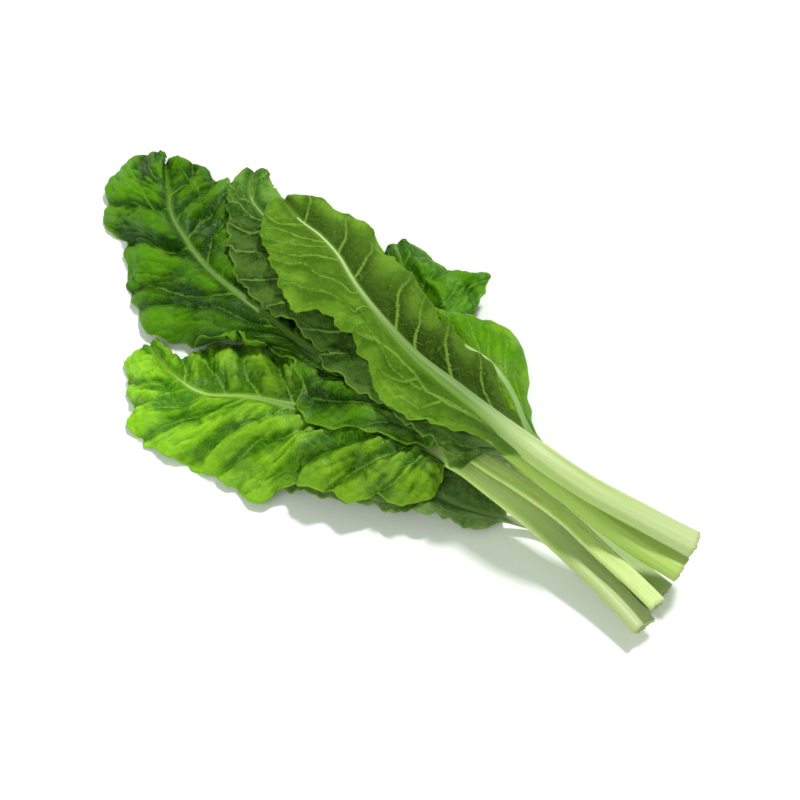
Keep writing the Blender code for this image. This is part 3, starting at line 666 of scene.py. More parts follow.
def line_on(blade, points, count):
    """count points along a line that is given by its places along and across the blade."""
    line = np.array(points, float)
    step = np.linspace(0, 1, count)
    knots = np.linspace(0, 1, len(line))
    return on_surface(blade, np.interp(step, knots, line[:, 0]), np.interp(step, knots, line[:, 1]))


def main_vein_points(blade, veins):
    """Points on the side veins without their branches."""
    v = np.linspace(0, 1, MAIN_POINTS)
    return np.concatenate([on_surface(blade, row, v) for row in vein_places(veins, v)[1:-1]])


def vein_lines(blade, veins, extra, draw):
    """Points on the side veins and their branches, with half the vein's width and how faint it is at each."""
    found = []
    v = np.linspace(0, 0.97, VEIN_POINTS)
    table = vein_places(veins, v)
    for k in range(1, len(table) - 1):
        sway = 0.006 * np.sin(9 * v + draw.uniform(0, 6.3)) * np.sin(math.pi * v)
        found.append((on_surface(blade, table[k] + sway, v), 0.95 - 0.45 * v, 0 * v))
        for side in (-1, 1):
            for start in np.arange(0.2, 0.86, 0.17) + draw.uniform(-0.04, 0.04, 4) + 0.05 * side:
                reach = draw.uniform(0.38, 0.6)
                along = np.linspace(0, 1, BRANCH_POINTS)
                out = start + 0.24 * along + draw.uniform(-0.05, 0.05) * np.sin(3 * along)
                own, other = (np.interp(out, v, table[j]) for j in (k, k + side))
                t = own + (other - own) * reach * along**0.8
                found.append((on_surface(blade, t, out), 0.75 - 0.2 * along, 0.55 + 0.25 * along))
    for points in extra:
        line = line_on(blade, points, MAIN_POINTS)
        found.append((line, np.full(MAIN_POINTS, 0.8), np.full(MAIN_POINTS, 0.1)))
    return [np.concatenate(column) for column in zip(*found)]


def nearest(points, targets):
    """The distance from each point to the nearest target, and which one that is."""
    tree = kdtree.KDTree(len(targets))
    for k, target in enumerate(targets.tolist()):
        tree.insert(target, k)
    tree.balance()
    found = [tree.find(point)[1:] for point in points.reshape(-1, 3).tolist()]
    index = np.array([pair[0] for pair in found]).reshape(points.shape[:-1])
    distance = np.array([pair[1] for pair in found]).reshape(points.shape[:-1])
    return distance, index


def blisters(x, y, size, draw):
    """How far each place is from the border between the two nearest blisters, which lie on a loose grid."""
    i = np.floor(x / size).astype(int)
    j = np.floor(y / size).astype(int)
    low_i, low_j = i.min() - 1, j.min() - 1
    shape = (i.max() - low_i + 2, j.max() - low_j + 2)
    jitter = draw.uniform(0.08, 0.92, (2, *shape))
    found = []
    for di in (-1, 0, 1):
        for dj in (-1, 0, 1):
            a, b = i + di, j + dj
            cx = (a + jitter[0][a - low_i, b - low_j]) * size
            cy = (b + jitter[1][a - low_i, b - low_j]) * size
            found.append(np.hypot(x - cx, y - cy))
    found = np.sort(np.array(found), axis=0)
    return found[1] - found[0]


def smooth_noise(x, y, size, draw):
    """Soft bumps of about that size, between -1 and 1."""
    total = np.zeros_like(x)
    for _ in range(7):
        angle = draw.uniform(0, 2 * math.pi)
        pace = 2 * math.pi / (size * draw.uniform(0.8, 1.5))
        total += np.sin(pace * (x * math.cos(angle) + y * math.sin(angle)) + draw.uniform(0, 2 * math.pi))
    return total / 3.2


def folded(blade, points, height, half_width):
    """The rise of one fold along a line on the blade."""
    distance = nearest(blade, line_on(blade, points, FOLD_POINTS))[0]
    return height * np.exp(-(distance / half_width) ** 2)


def across_blade(blade):
    """How far each point is from the midrib, over the blade."""
    step = np.linalg.norm(np.diff(blade, axis=1), axis=2)
    return np.concatenate([np.zeros((len(blade), 1)), np.cumsum(step, axis=1)], axis=1)


def upward_normals(grid):
    normal = unit(np.cross(np.gradient(grid, axis=0), np.gradient(grid, axis=1)))
    return normal * (1 if normal[..., 2].mean() > 0 else -1)


def wave(along, length, turn=0.0, bend=0.0):
    return np.sin(along * 2 * math.pi / length + turn + bend)


def calmed(look, side, t):
    """Less crinkle and frill where the margin is rolled."""
    calm = np.ones_like(t)
    for at, start, end, _, _ in look.rolls:
        if at == side:
            calm -= 0.9 * eased(t, start - 0.04, start) * (1 - eased(t, end, end + 0.04))
    return calm


def edged(look, side, blade, t, v, along, length, draw):
    """The margin's scallops and lobes, which lie in the blade's own plane."""
    turn = draw.uniform(0, 6.3, 3)
    large, bend, small, small_bend = NOTCH_WAVES
    notches = wave(along, large, turn[0], 1.6 * wave(along, bend, turn[1]))
    notches += 0.5 * wave(along, small, turn[2], wave(along, small_bend))
    grow = look.scallop * notches * v**6 * calmed(look, side, t)
    for at, place, half_length, stands_out in look.lobes:
        if at == side:
            grow = grow + stands_out * np.exp(-((along - place * length) / half_length) ** 2) * v**3
    outward = unit(blade[:, -1:] - blade[:, -5:-4])
    return blade + outward * (grow * eased(across_blade(blade)[:, -1:], *WIDE_ENOUGH))[..., None]


def relief(leaf, look, blade, side):
    """One side of the blade with its veins, puffs and frills. Returns the shaped side and the fields that the
    material uses: how far each point is from the veins, the blisters' borders, the margin and the midrib."""
    draw = np.random.default_rng(leaf.seed * 31 + side)
    veins = look.veins_left if side < 0 else look.veins_right
    rows, cols = blade.shape[:2]
    v = np.linspace(0, 1, cols)[None]
    t = np.linspace(0, 1, rows)[:, None]
    length = blade_length(leaf)
    along = t * length + 0 * v
    blade = edged(look, side, blade, t, v, along, length, draw)
    out = across_blade(blade)
    width = out[:, -1:]

    extra = [points for at, points in look.extra if at == side]
    lines, widths, faint = vein_lines(blade, veins, extra, draw)
    far, index = nearest(blade, lines)
    vein = far / widths[index] + faint[index]
    far_main = np.minimum(nearest(blade, main_vein_points(blade, veins))[0], out + 0.5)
    warp = 2.5 * smooth_noise(along, out, WARP_SIZE, draw)
    border = blisters(along - 0.5 * out + warp, 0.5 * out + warp, look.blister, draw)
    wrinkle = smooth_noise(along - 0.5 * out, 0.3 * out, WRINKLE_SIZE, draw)
    cross = smooth_noise(along, 1.1 * out, CROSS_SIZE, draw)

    near_rib = eased(out, *NEAR_RIB)
    rim = np.clip(width - out, 0, None)
    calm = calmed(look, side, t)
    height = look.puff * (1 - np.exp(-(far_main / PUFF_REACH) ** ROUNDING) - 0.55) * near_rib
    height += 0.2 * look.puff * (1 - np.exp(-far / CREASE_REACH)) * near_rib
    inside = near_rib * calm * (0.25 + 0.75 * eased(rim, 0.0, MARGIN_REACH))
    height += 0.55 * look.crinkle * (1 - np.exp(-(border / CREASE_REACH) ** ROUNDING) - 0.5) * inside
    height += look.crinkle * (1.2 * np.abs(wrinkle) - 0.56 + 0.3 * cross) * inside
    height += 0.4 * look.puff * smooth_noise(along, out, SWELL_SIZE, draw) * near_rib
    turn = draw.uniform(0, 6.3, 3)
    large, bend, small = FRILL_WAVES
    frill = wave(along, large, turn[0], 1.3 * wave(along, bend, turn[1])) + 0.2 * wave(along, small, turn[2])
    height += look.frill * frill * np.exp(-rim / MARGIN_REACH) * near_rib * eased(width, *WIDE_ENOUGH) * calm
    for at, points, rise, half_width in look.folds:
        if at == side:
            height += folded(blade, points, rise, half_width) * near_rib

    normal = upward_normals(blade)
    face = -1.0 if leaf.back_up else 1.0
    shaped = blade + normal * (face * height)[..., None]
    cord = CORD_HEIGHT * np.exp(-(far / (0.9 * widths[index])) ** 2) * np.minimum(widths[index], 1)
    shaped += normal * (-face * cord * near_rib)[..., None]
    hang = look.droop[0 if side < 0 else 1] * np.clip(blade[:, -1:, 2] - HANG_FROM, 0, MOST_HANG)
    shaped[..., 2] -= hang * np.exp(-rim / MARGIN_REACH) * near_rib
    fields = {
        "vein": np.clip(vein, 0, 20), "border": border, "rim": rim, "rib": out, "valley": far_main,
        "along": along, "out": out * side, "puff": height, "reach": t + 0 * out,
        "share": out / np.maximum(width, 1.0),
    }
    return shaped, fields


def narrowed(blade, length):
    """The blade comes out of the stalk's side little by little where it starts."""
    share = eased(np.linspace(0, length, len(blade)), 0, WING_FADE)[:, None, None]
    return blade[:, :1] + (blade - blade[:, :1]) * share


def rolled(blade, side_from, side_to, width, radius):
    """The margin rolled up and inwards between two places along the blade."""
    t = np.linspace(0, 1, len(blade))
    span = side_to - side_from
    amount = eased(t, side_from, side_from + 0.25 * span) * (1 - eased(t, side_to - 0.25 * span, side_to))
    out = across_blade(blade)
    start = out[:, -1:] - width * amount[:, None]
    past = np.clip(out - start, 0, None)
    hinge = np.argmax(out >= start, axis=1)
    row = np.arange(len(blade))
    base = blade[row, hinge][:, None]
    away = unit(np.gradient(blade, axis=1)[row, np.maximum(hinge - 1, 0)])[:, None]
    angle = past / radius
    flat = base + away * past[..., None]
    curl = (base + away * (radius * np.sin(angle))[..., None]
            + upward_normals(blade) * (radius * (1 - np.cos(angle)))[..., None])
    return np.where((past > 0)[..., None], curl + (blade - flat) * ROLL_LEFT, blade)


def whole_width(left, middle, right):
    """The two sides joined across the midrib, from the left margin to the right one."""
    return np.concatenate([left[:, ::-1], middle, right], axis=1)


def sheet_grid(form, sides):
    """The two sides as one sheet that crosses the midrib inside its body. Near the stalk the blade dips
    towards the middle of the body, and flares out of its side."""
    body = form.midrib_body()
    reach = (0.35 * form.half[form.rows_stalk:, None] + 0.8) if form.leaf.back_up else 1.4
    sunk = [blade.copy() for blade in sides]
    for blade in sunk:
        blade[..., 2] += DIP * body[:, None] * np.exp(-across_blade(blade) / reach)
    centre = form.grid[form.rows_stalk:, form.middle].copy()
    centre[:, 2] += CROSSING * body
    return whole_width(sunk[0], centre[:, None], sunk[1])


def sheet_mesh(grid, thickness):
    """A thin closed sheet: points, four-cornered faces and how many of the faces are on the upper side."""
    rows, cols = grid.shape[:2]
    half = upward_normals(grid) * thickness / 2
    middle = grid.copy()
    middle[..., 2] = np.maximum(middle[..., 2], thickness / 2 + LEAST_LIFT)
    top = middle + half
    bottom = middle - half
    bottom[..., 2] = np.maximum(bottom[..., 2], LOWEST_BACK)
    top[..., 2] = np.maximum(top[..., 2], LOWEST_TOP)
    count = rows * cols
    at = np.arange(count).reshape(rows, cols)
    quads = np.stack([at[:-1, :-1], at[:-1, 1:], at[1:, 1:], at[1:, :-1]], -1).reshape(-1, 4)
    ring = np.concatenate([at[0, :-1], at[:-1, -1], at[-1, :0:-1], at[:0:-1, 0]])
    after = np.roll(ring, -1)
    walls = np.stack([after, ring, ring + count, after + count], -1)
    corner = grid[0, 0]
    turn = 1 if np.cross(grid[0, 1] - corner, grid[1, 1] - corner)[2] > 0 else -1
    up = quads[:, ::turn]
    points = np.concatenate([top.reshape(-1, 3), bottom.reshape(-1, 3)])
    return points, np.concatenate([up, up[:, ::-1] + count, walls[:, ::turn]]), len(quads)


# The fine stalks

def stalk_rings(back_up, centre, half, deep, sideways, draw):
    """Cross-sections of the stalk and midrib: a ribbed round back and a groove along the face."""
    along = unit(np.gradient(centre, axis=0))
    right = unit(sideways - along * (sideways * along).sum(axis=1, keepdims=True))
    up = np.cross(right, along) * (-1 if back_up else 1)
    length = lengths(centre)
    swell = (1 + 0.02 * np.sin(length / 23 + draw.uniform(0, 6))
             + 0.015 * np.sin(length / 9 + draw.uniform(0, 6)))
    ribs = draw.uniform(0, 2 * math.pi)
    rib_count = round(0.9 * half.max())
    fade = np.clip(half / half.max(), 0, 1) ** 1.5
    rounded = (0.04 if back_up else 0.3) * half * fade
    rings = []
    for k in range(BACK_POINTS + 1):
        angle = math.pi * k / BACK_POINTS
        rib = 0.09 * math.cos(1.4 * rib_count * angle + ribs) + 0.03 * math.cos(5.3 * rib_count * angle / 2)
        rib *= math.sin(angle) ** 0.5
        x = (half * swell + rib * fade) * math.cos(angle)
        y = rounded + (BACK_FLAT * deep * swell - rounded + rib * fade) * math.sin(angle) ** 0.8
        rings.append(centre + right * x[:, None] - up * y[:, None])
    for edge in np.linspace(-1, 1, FACE_POINTS + 2)[1:-1]:
        rib = 0.08 * math.cos(edge * 7 + ribs)
        level = GROOVE_DEPTH * 2 * half * (1 - edge**2) * (1 - 0.7 * fade)
        groove = level + rounded * (1 - math.sqrt(1 - edge**2)) + rib * fade
        rings.append(centre + right * (half * swell * edge)[:, None] - up * groove[:, None])
    rings = np.stack(rings, axis=1)
    return (rings[:, ::-1] if back_up else rings), along


def cut_end(rings, along, draw):
    """The rings of the cut end: a ragged rim, a narrow bevel and a slightly hollow face."""
    first = rings[0]
    middle = first.mean(axis=0)
    count = len(first)
    turn = np.linspace(0, 2 * math.pi, count, endpoint=False)
    ragged = sum(draw.uniform(0.1, 0.32) * np.sin(k * turn + draw.uniform(0, 6.3))
                 for k in (1, 2, 3, 5, 8, 13))
    outward = -along[0]
    rings = rings.copy()
    rings[0] = first + outward * ragged[:, None]
    caps = []
    for scale, depth in CUT_RINGS:
        stands_out = 0.8 * ragged * scale + depth + draw.uniform(-ROUGHNESS, ROUGHNESS, count)
        caps.append(middle + (first - middle) * scale + outward * stands_out[:, None])
    return rings, np.array(caps[::-1])


def tube(rings, caps):
    """A closed solid through the cap rings and then the stalk's rings, to a point at the far end."""
    whole = np.concatenate([caps, rings])
    count, sides = whole.shape[:2]
    at = np.arange(count * sides).reshape(count, sides)
    after = np.roll(at, -1, axis=1)
    faces = np.stack([at[:-1], after[:-1], after[1:], at[1:]], -1).reshape(-1, 4).tolist()
    first, last = count * sides, count * sides + 1
    faces += [(first, after[0, k], at[0, k]) for k in range(sides)]
    faces += [(last, at[-1, k], after[-1, k]) for k in range(sides)]
    tip = rings[-1].mean(axis=0) + TIP_LENGTH * unit(rings[-1].mean(axis=0) - rings[-2].mean(axis=0))
    points = np.concatenate([whole.reshape(-1, 3), whole[:1].mean(axis=1), tip[None]])
    return points, faces


# Materials

class Graph:
    """Short ways to add and join the nodes of one material."""

    def __init__(self, name):
        self.material = bpy.data.materials.new(name)
        self.material.use_nodes = True
        self.tree = self.material.node_tree
        self.shader = self.tree.nodes["Principled BSDF"]
        self.output = self.tree.nodes["Material Output"]

    def put(self, socket, value):
        if isinstance(value, bpy.types.NodeSocket):
            self.tree.links.new(value, socket)
        else:
            socket.default_value = value

    def fill(self, node, **inputs):
        for name, value in inputs.items():
            self.put(node.inputs[name.replace("_", " ")], value)
        return node

    def add(self, kind, **inputs):
        return self.fill(self.tree.nodes.new(kind), **inputs)

    def field(self, name):
        made = self.add("ShaderNodeAttribute")
        made.attribute_name = name
        return made.outputs["Fac"]

    def math(self, operation, a, b):
        made = self.add("ShaderNodeMath")
        made.operation = operation
        self.put(made.inputs[0], a)
        self.put(made.inputs[1], b)
        return made.outputs[0]

    def total(self, first, *others):
        for other in others:
            first = self.math("ADD", first, other)
        return first

    def span(self, value, low, high, out_low=0.0, out_high=1.0):
        """The value eased from out_low, where it is low, to out_high, where it is high."""
        made = self.add("ShaderNodeMapRange", Value=value, From_Min=low, From_Max=high,
                        To_Min=out_low, To_Max=out_high)
        made.interpolation_type = "SMOOTHSTEP"
        return made.outputs[0]

    def mix(self, share, a, b, blend="MIX"):
        made = self.add("ShaderNodeMix")
        made.data_type = "RGBA"
        made.blend_type = blend
        self.put(made.inputs["Factor"], share)
        colours = [s for s in made.inputs if s.type == "RGBA"]
        for socket, value in zip(colours, (a, b)):
            self.put(socket, (*value, 1) if isinstance(value, tuple) else value)
        return [s for s in made.outputs if s.type == "RGBA"][0]

    def coats(self, colour, *coats):
        """Lays coats on the colour: each a value, its low and high end, the share at both, and a tone."""
        for *limits, tone in coats:
            colour = self.mix(self.span(*limits), colour, tone)
        return colour

    def shaded(self, colour, tones):
        return self.mix(1.0, colour, tones, "MULTIPLY")

    def greys(self, value, low, high, before, after):
        return self.mix(self.span(value, low, high), (before,) * 3, (after,) * 3)

    def place(self, x, y, scale_x=1.0, scale_y=1.0):
        return self.add("ShaderNodeCombineXYZ", X=self.math("MULTIPLY", x, scale_x),
                        Y=self.math("MULTIPLY", y, scale_y)).outputs[0]

    def noise(self, vector, scale, detail=3.0, roughness=0.5):
        made = self.add("ShaderNodeTexNoise", Vector=vector, Scale=scale, Detail=detail, Roughness=roughness)
        return made.outputs["Fac"]

    def cells(self, vector, scale, feature="F1"):
        made = self.add("ShaderNodeTexVoronoi", Vector=vector, Scale=scale, Randomness=1.0)
        made.feature = feature
        return made.outputs["Distance"]

    def bump(self, height, strength, distance):
        return self.add("ShaderNodeBump", Height=height, Strength=strength, Distance=distance).outputs[0]


def tinted(colour, by):
    return tuple(min(1.0, c * k) for c, k in zip(colour, by))


def paled(colour, share, added):
    return tuple(share * c + more for c, more in zip(colour, added))


def blade_colour(g, flat, look, underside, back_up):
    """Green that is painted deep in the creases and hollows as shade and bright on the puffs as light, darker
    near the midrib and lighter towards the margin, with painted shade along each side, and the pale green of
    the veins and the rim."""
    deep, bright = look.deep, look.bright
    if underside and not back_up:
        deep, bright = paled(deep, 0.6, (0.045, 0.085, 0.015)), paled(bright, 0.6, (0.06, 0.11, 0.02))
    if back_up and not underside:
        deep, bright = tinted(deep, (0.4, 0.6, 0.3)), tinted(bright, (0.5, 0.7, 0.3))
    # The share of bright green: random tone from noise, painted light on the puffs' tops, painted shade in
    # the blisters' creases and in the valleys beside the main veins, darker near the midrib, lighter towards
    # the margin.
    share = g.total(
        g.span(g.noise(flat, 0.03, 3.0, 0.6), 0.34, 0.66, 0.05, 0.45),
        g.span(g.field("puff"), -0.5 * look.puff, 0.6 * look.puff, -0.2, 0.42),
        g.span(g.field("border"), 0.3, 2.6, -0.05, 0.04),
        g.span(g.field("share"), 0.1, 1.0, -0.15, 0.22),
        g.span(g.field("valley"), 0.0, 4.5, -0.12, 0.05),
        g.span(g.noise(flat, 0.16, 4.0, 0.6), 0.3, 0.7, -0.12, 0.12),
    )
    colour = g.mix(g.span(share, 0.0, 1.0), deep, bright)
    # Painted shade and light along each side of the blade, and across it beside the midrib and at the margin.
    painted_shade_across = [(0.1, 0.85, *tones) for tones in look.across]
    for name, tones in (("reach", (look.painted_shade_left, look.painted_shade_right)), ("share", painted_shade_across)):
        left, right = (g.greys(g.field(name), *side) for side in tones)
        colour = g.shaded(colour, g.mix(g.span(g.field("out"), -2.5, 2.5), left, right))
    return colour, paled(bright, 0.75, (0.12, 0.16, 0.035))


def domed(g, flat):
    """How far each place is from the top of its small dome. Soft noise pushes the domes out of line."""
    shift = g.noise(flat, 0.09, 2.0, 0.5)
    along = g.total(g.math("MULTIPLY", shift, 16.0), g.field("along"))
    out = g.total(g.math("MULTIPLY", shift, -14.0), g.field("out"))
    return g.cells(g.place(along, out), 0.17)


def blade_material(name, look, underside, back_up):
    """Green blade with painted light and shade, pale veins, a fine net of lesser veins, small domes and a
    thin pale margin painted as a highlight.
    """
    g = Graph(name)
    vein, rib = g.field("vein"), g.field("rib")
    flat = g.place(g.field("along"), g.field("out"))
    colour, pale = blade_colour(g, flat, look, underside, back_up)
    fine = g.noise(flat, 0.8, 3.0, 0.6)
    mottle = g.noise(flat, 0.22, 4.0, 0.6)
    net = g.cells(flat, 0.4, "DISTANCE_TO_EDGE")
    colour = g.coats(
        colour,
        (fine, 0.35, 0.75, 0.0, 0.18, tinted(look.deep, (0.8, 0.85, 0.7))),
        (net, 0.09, 0.0, 0.0, 0.16, pale),
        (g.field("border"), 0.7, 0.0, 0.0, 0.25, pale),
        (vein, 1.3, 0.35, 0.0, 0.8 if underside else 0.6, pale),
        (rib, 3.0, 0.3, 0.0, 0.5, pale),
    )
    base = g.math("MULTIPLY", g.span(rib, 13.0, 1.0), g.span(g.field("reach"), 0.3, 0.02))
    colour = g.mix(g.math("MULTIPLY", base, 0.7), colour, look.rib[0])
    # The pale rim is a painted highlight where the curled margin catches the light.
    colour = g.coats(colour, (g.field("rim"), 1.5, 0.3, 0.0, 0.6, tinted(pale, (1.0, 1.0, 0.7))))
    bump = g.bump(g.total(
        g.math("MULTIPLY", fine, 0.25),
        g.math("MULTIPLY", mottle, 0.9),
        g.span(net, 0.0, 0.25, 0.0, 0.35),
        g.math("MULTIPLY", domed(g, flat), -1.5 * look.crinkle),
        g.span(vein, 1.4, 0.0, 0.0, 0.9 if underside else -0.6),
    ), 0.6, 0.0009)
    rough = look.shine + (0.2 if underside else 0.0)
    gloss = 0.06 if underside else g.span(g.noise(flat, 0.035, 2.0, 0.5), 0.45, 0.65, 0.06, 0.34)
    g.fill(g.shader, Base_Color=colour, Normal=bump, Specular_IOR_Level=gloss,
           Roughness=g.span(mottle, 0.3, 0.7, max(0.15, rough - 0.07), min(0.9, rough + 0.1)))
    lit = g.mix(0.35, colour, tinted(look.bright, (1.6, 1.4, 0.8)))
    light = g.add("ShaderNodeBsdfTranslucent", Color=lit, Normal=bump)
    both = g.add("ShaderNodeMixShader")
    for socket, value in zip(both.inputs, (0.35, g.shader.outputs[0], light.outputs[0])):
        g.put(socket, value)
    g.fill(g.output, Surface=both.outputs[0])
    return g.material


def stalk_material(name, look, spotted):
    """Pale stalk: cream towards the cut, greener towards the blade, with soft lengthwise fibres and painted
    light and shade along its length.
    """
    g = Graph(name)
    along, around, reach = g.field("along"), g.field("around"), g.field("reach")
    fibres = g.noise(g.place(along, around, 0.01, 0.7), 0.9, 3.0, 0.5)
    broad = g.noise(g.place(along, around, 0.008, 0.14), 1.0, 2.0, 0.5)
    pale, lime = tinted(look.stalk, (1.08, 1.06, 1.15)), tinted(look.stalk, (0.8, 0.9, 0.6))
    colour = g.mix(g.span(broad, 0.38, 0.62), pale, lime)
    colour = g.coats(colour, (along, 6.0, 70.0, 0.6, 0.0, tinted(look.stalk, (1.15, 1.08, 1.4))))
    # Painted light and shade: the stalk is painted lighter or darker from 40 to 120 mm from the cut.
    colour = g.shaded(colour, g.greys(along, 40.0, 120.0, *look.stalk_painted_light))
    colour = g.coats(
        colour,
        (reach, 0.0, 0.22, 0.0, 1.0, g.mix(g.span(reach, 0.35, 0.85), *look.rib)),
        (fibres, 0.42, 0.62, 0.0, 0.16, tinted(lime, (0.75, 0.85, 0.6))),
    )
    beside = g.math("MULTIPLY", g.span(g.field("edge"), 0.3, 0.9), g.span(reach, 0.02, 0.2, 0.0, 0.75))
    colour = g.mix(beside, colour, g.mix(0.5, look.deep, look.bright))
    if spotted:
        marks = g.noise(g.place(along, around, 0.1, 0.45), 1.0, 4.0, 0.7)
        colour = g.coats(colour, (marks, 0.5, 0.72, 0.0, 0.6, (0.4, 0.27, 0.13)))
    spots = g.noise(g.place(along, around, 0.12, 0.3), 1.0, 2.0, 0.5)
    colour = g.coats(
        colour,
        (spots, 0.7, 0.78, 0.0, 0.5, (0.4, 0.3, 0.13)),
        (along, 2.2, 0.0, 0.0, 0.7, (0.36, 0.33, 0.2)),
    )
    pith = g.noise(g.place(around, g.field("inward"), 0.8, 6.0), 1.0, 3.0, 0.6)
    face = g.mix(g.span(pith, 0.35, 0.7), (0.42, 0.48, 0.28), (0.24, 0.26, 0.17))
    bump = g.bump(g.total(fibres, g.math("MULTIPLY", broad, 0.6)), 0.12, 0.0008)
    g.fill(g.shader, Base_Color=g.mix(g.field("cut"), colour, face), Normal=bump, Specular_IOR_Level=0.35,
           Roughness=g.span(fibres, 0.3, 0.7, 0.42, 0.55), Subsurface_Weight=0.2,
           Subsurface_Radius=(0.004, 0.004, 0.001), Subsurface_Scale=1.0)
    return g.material


def floor_material():
    g = Graph("pale_surface")
    shade = g.noise(g.add("ShaderNodeTexCoord").outputs["Object"], 3.0, 2.0)
    colour = g.mix(g.span(shade, 0.0, 1.0), (0.86, 0.87, 0.86), (0.88, 0.88, 0.88))
    g.fill(g.shader, Base_Color=colour, Roughness=0.8, Specular_IOR_Level=0.2)
    return g.material


# Pieces

def placed(points):
    """The points in the part's frame, in metres, with what lies lowest pressed flat on the ground."""
    points = points.copy()
    points[:, 2] = np.maximum(points[:, 2] - FLAT_SPOT, 0)
    points[:, :2] -= MIDDLE
    return points * MM


def added(name, data):
    made = bpy.data.objects.new(name, data)
    bpy.context.scene.collection.objects.link(made)
    return made


def aimed(thing, towards):
    """Turns a camera or a light to look that way."""
    thing.rotation_mode = "QUATERNION"
    thing.rotation_quaternion = Vector(towards).to_track_quat("-Z", "Y")


def add_piece(node, points, faces, materials, fields, which=None):
    """One shown piece that stands for a CAD node."""
    mesh = bpy.data.meshes.new(node + "_shown")
    mesh.from_pydata(placed(points).tolist(), [], faces)
    for material in materials:
        mesh.materials.append(material)
    if which is not None:
        mesh.polygons.foreach_set("material_index", which)
    for field, values in fields.items():
        made = mesh.attributes.new(field, "FLOAT", "POINT")
        made.data.foreach_set("value", np.asarray(values, np.float32))
    mesh.shade_smooth()
    mesh.update()
    piece = added(node + "_shown", mesh)
    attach(piece, "root")
    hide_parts(node)


def add_blade(form, look, sides, fields):
    name, back_up = form.leaf.name, form.leaf.back_up
    points, faces, upper = sheet_mesh(sheet_grid(form, sides), form.mesh.thickness)
    joined = {}
    for field in fields[0]:
        left, right = (measured[field] for measured in fields)
        whole = whole_width(left, (left[:, :1] + right[:, :1]) / 2, right).reshape(-1)
        joined[field] = np.concatenate([whole, whole])
    face = blade_material(name + "_face", look, False, back_up)
    back = blade_material(name + "_back", look, True, back_up)
    which = np.zeros(len(faces), np.int32)
    which[upper:2 * upper] = 1
    materials = (back, face) if back_up else (face, back)
    add_piece(name + "_blade", points, faces.tolist(), materials, joined, which)


def add_stalk(form, look):
    name, rows_stalk = form.leaf.name, form.rows_stalk
    paint = stalk_material(name + "_stalk_skin", look, name == SPOTTED)
    draw = np.random.default_rng(form.leaf.seed * 17 + 5)
    count = rows_stalk + round(MIDRIB_END * (len(form.grid) - rows_stalk - 1)) + 1
    centre, half, deep, sideways = (
        values[:count] for values in (form.grid[:, form.middle], form.half, form.deep, form.sideways))
    rings, along = stalk_rings(form.leaf.back_up, centre, half, deep, sideways, draw)
    beside = np.abs(((rings - centre[:, None]) * sideways[:, None]).sum(axis=2)) / half[:, None]
    rings, caps = cut_end(rings, along, draw)
    beside = np.concatenate([np.repeat(beside[:1], len(caps), axis=0), beside])
    points, faces = tube(rings, caps)
    edge = np.linalg.norm(rings - np.roll(rings, 1, axis=1), axis=2)
    around = np.cumsum(edge[rows_stalk])[None].repeat(len(caps) + count, axis=0)
    around = around - around.mean()
    length = lengths(centre)
    none = np.zeros(count)
    reach = np.linspace(0, MIDRIB_END, count - rows_stalk)
    fields = {
        "along": (np.append(np.zeros(len(caps)), length), 0, length[-1]),
        "reach": (np.append(np.zeros(len(caps) + rows_stalk), reach), 0, MIDRIB_END),
        "inward": (np.append(np.linspace(1, 0.1, len(caps)), none), 1, 0),
        "cut": (np.concatenate([np.ones(len(caps) - 1), [0.5], none]), 1, 0),
    }
    fields = {field: np.append(np.repeat(values, rings.shape[1]), [first, last])
              for field, (values, first, last) in fields.items()}
    fields |= {"around": np.append(around, [0, 0]), "edge": np.append(beside, [0, 0])}
    add_piece(name + "_stalk", points, faces, (paint,), fields)


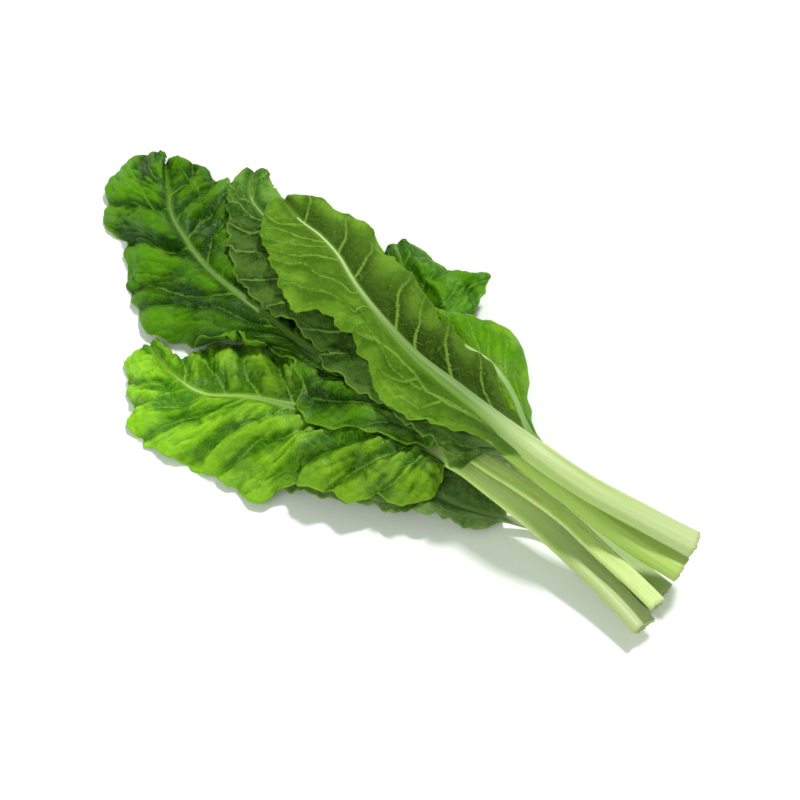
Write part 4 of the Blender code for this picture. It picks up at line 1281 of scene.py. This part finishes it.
def add_leaves():
    """All the leaves, each laid on those below it."""
    ground = np.full(GROUND_SHAPE, -FINE.clearance)
    for leaf, lift in zip(LEAVES, coarse_lifts()):
        look = LOOKS[leaf.name]
        form = leaf_form(leaf, FINE)
        form.grid[..., 2] += spread_lift(leaf, lift)
        narrow = [narrowed(blade, blade_length(leaf)) for blade in form.sides()]
        shaped = [relief(leaf, look, blade, side) for side, blade in zip((-1, 1), narrow)]
        for blade, (surface, _) in zip(form.sides(), shaped):
            blade[:] = surface
        laid(form, ground)
        sides = form.sides()
        for side, *roll in look.rolls:
            k = 0 if side < 0 else 1
            sides[k] = rolled(sides[k], *roll)
        add_blade(form, look, sides, [fields for _, fields in shaped])
        add_stalk(form, look)


def add_floor():
    bpy.ops.mesh.primitive_plane_add(size=FLOOR_SIZE, location=(0, 0, 0))
    floor = bpy.context.object
    floor.name = "pale_floor"
    floor.data.materials.append(floor_material())


def add_camera():
    camera = added("camera", bpy.data.cameras.new("camera"))
    bpy.context.scene.camera = camera
    camera.data.lens = LENS
    camera.data.sensor_width = SENSOR
    camera.data.clip_start = CLIP_START
    camera.location = CAMERA_AT
    level = math.cos(CAMERA_RISE)
    aimed(camera, (-math.sin(CAMERA_TURN) * level, math.cos(CAMERA_TURN) * level, -math.sin(CAMERA_RISE)))


def add_sun(name, energy, spread, towards, colour):
    sun = added(name, bpy.data.lights.new(name, "SUN"))
    sun.data.energy = energy
    sun.data.angle = math.radians(spread)
    sun.data.color = colour
    aimed(sun, towards)


def add_light():
    """A key light from behind on the right, a broad one from the front on the left, and an even surround."""
    world = bpy.data.worlds.new("studio")
    world.use_nodes = True
    surround = world.node_tree.nodes["Background"]
    surround.inputs[0].default_value = SURROUND_COLOUR
    surround.inputs[1].default_value = SURROUND_STRENGTH
    bpy.context.scene.world = world
    for sun in SUNS:
        add_sun(*sun)
    bpy.context.scene.view_settings.view_transform = "Standard"


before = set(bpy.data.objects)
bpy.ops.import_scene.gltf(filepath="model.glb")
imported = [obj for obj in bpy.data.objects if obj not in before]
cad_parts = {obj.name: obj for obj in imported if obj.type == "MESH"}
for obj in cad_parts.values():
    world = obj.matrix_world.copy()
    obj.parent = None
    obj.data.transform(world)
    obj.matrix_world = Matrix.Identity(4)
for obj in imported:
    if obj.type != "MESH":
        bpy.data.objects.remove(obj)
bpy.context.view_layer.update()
add_camera()
add_light()
add_floor()
add_leaves()
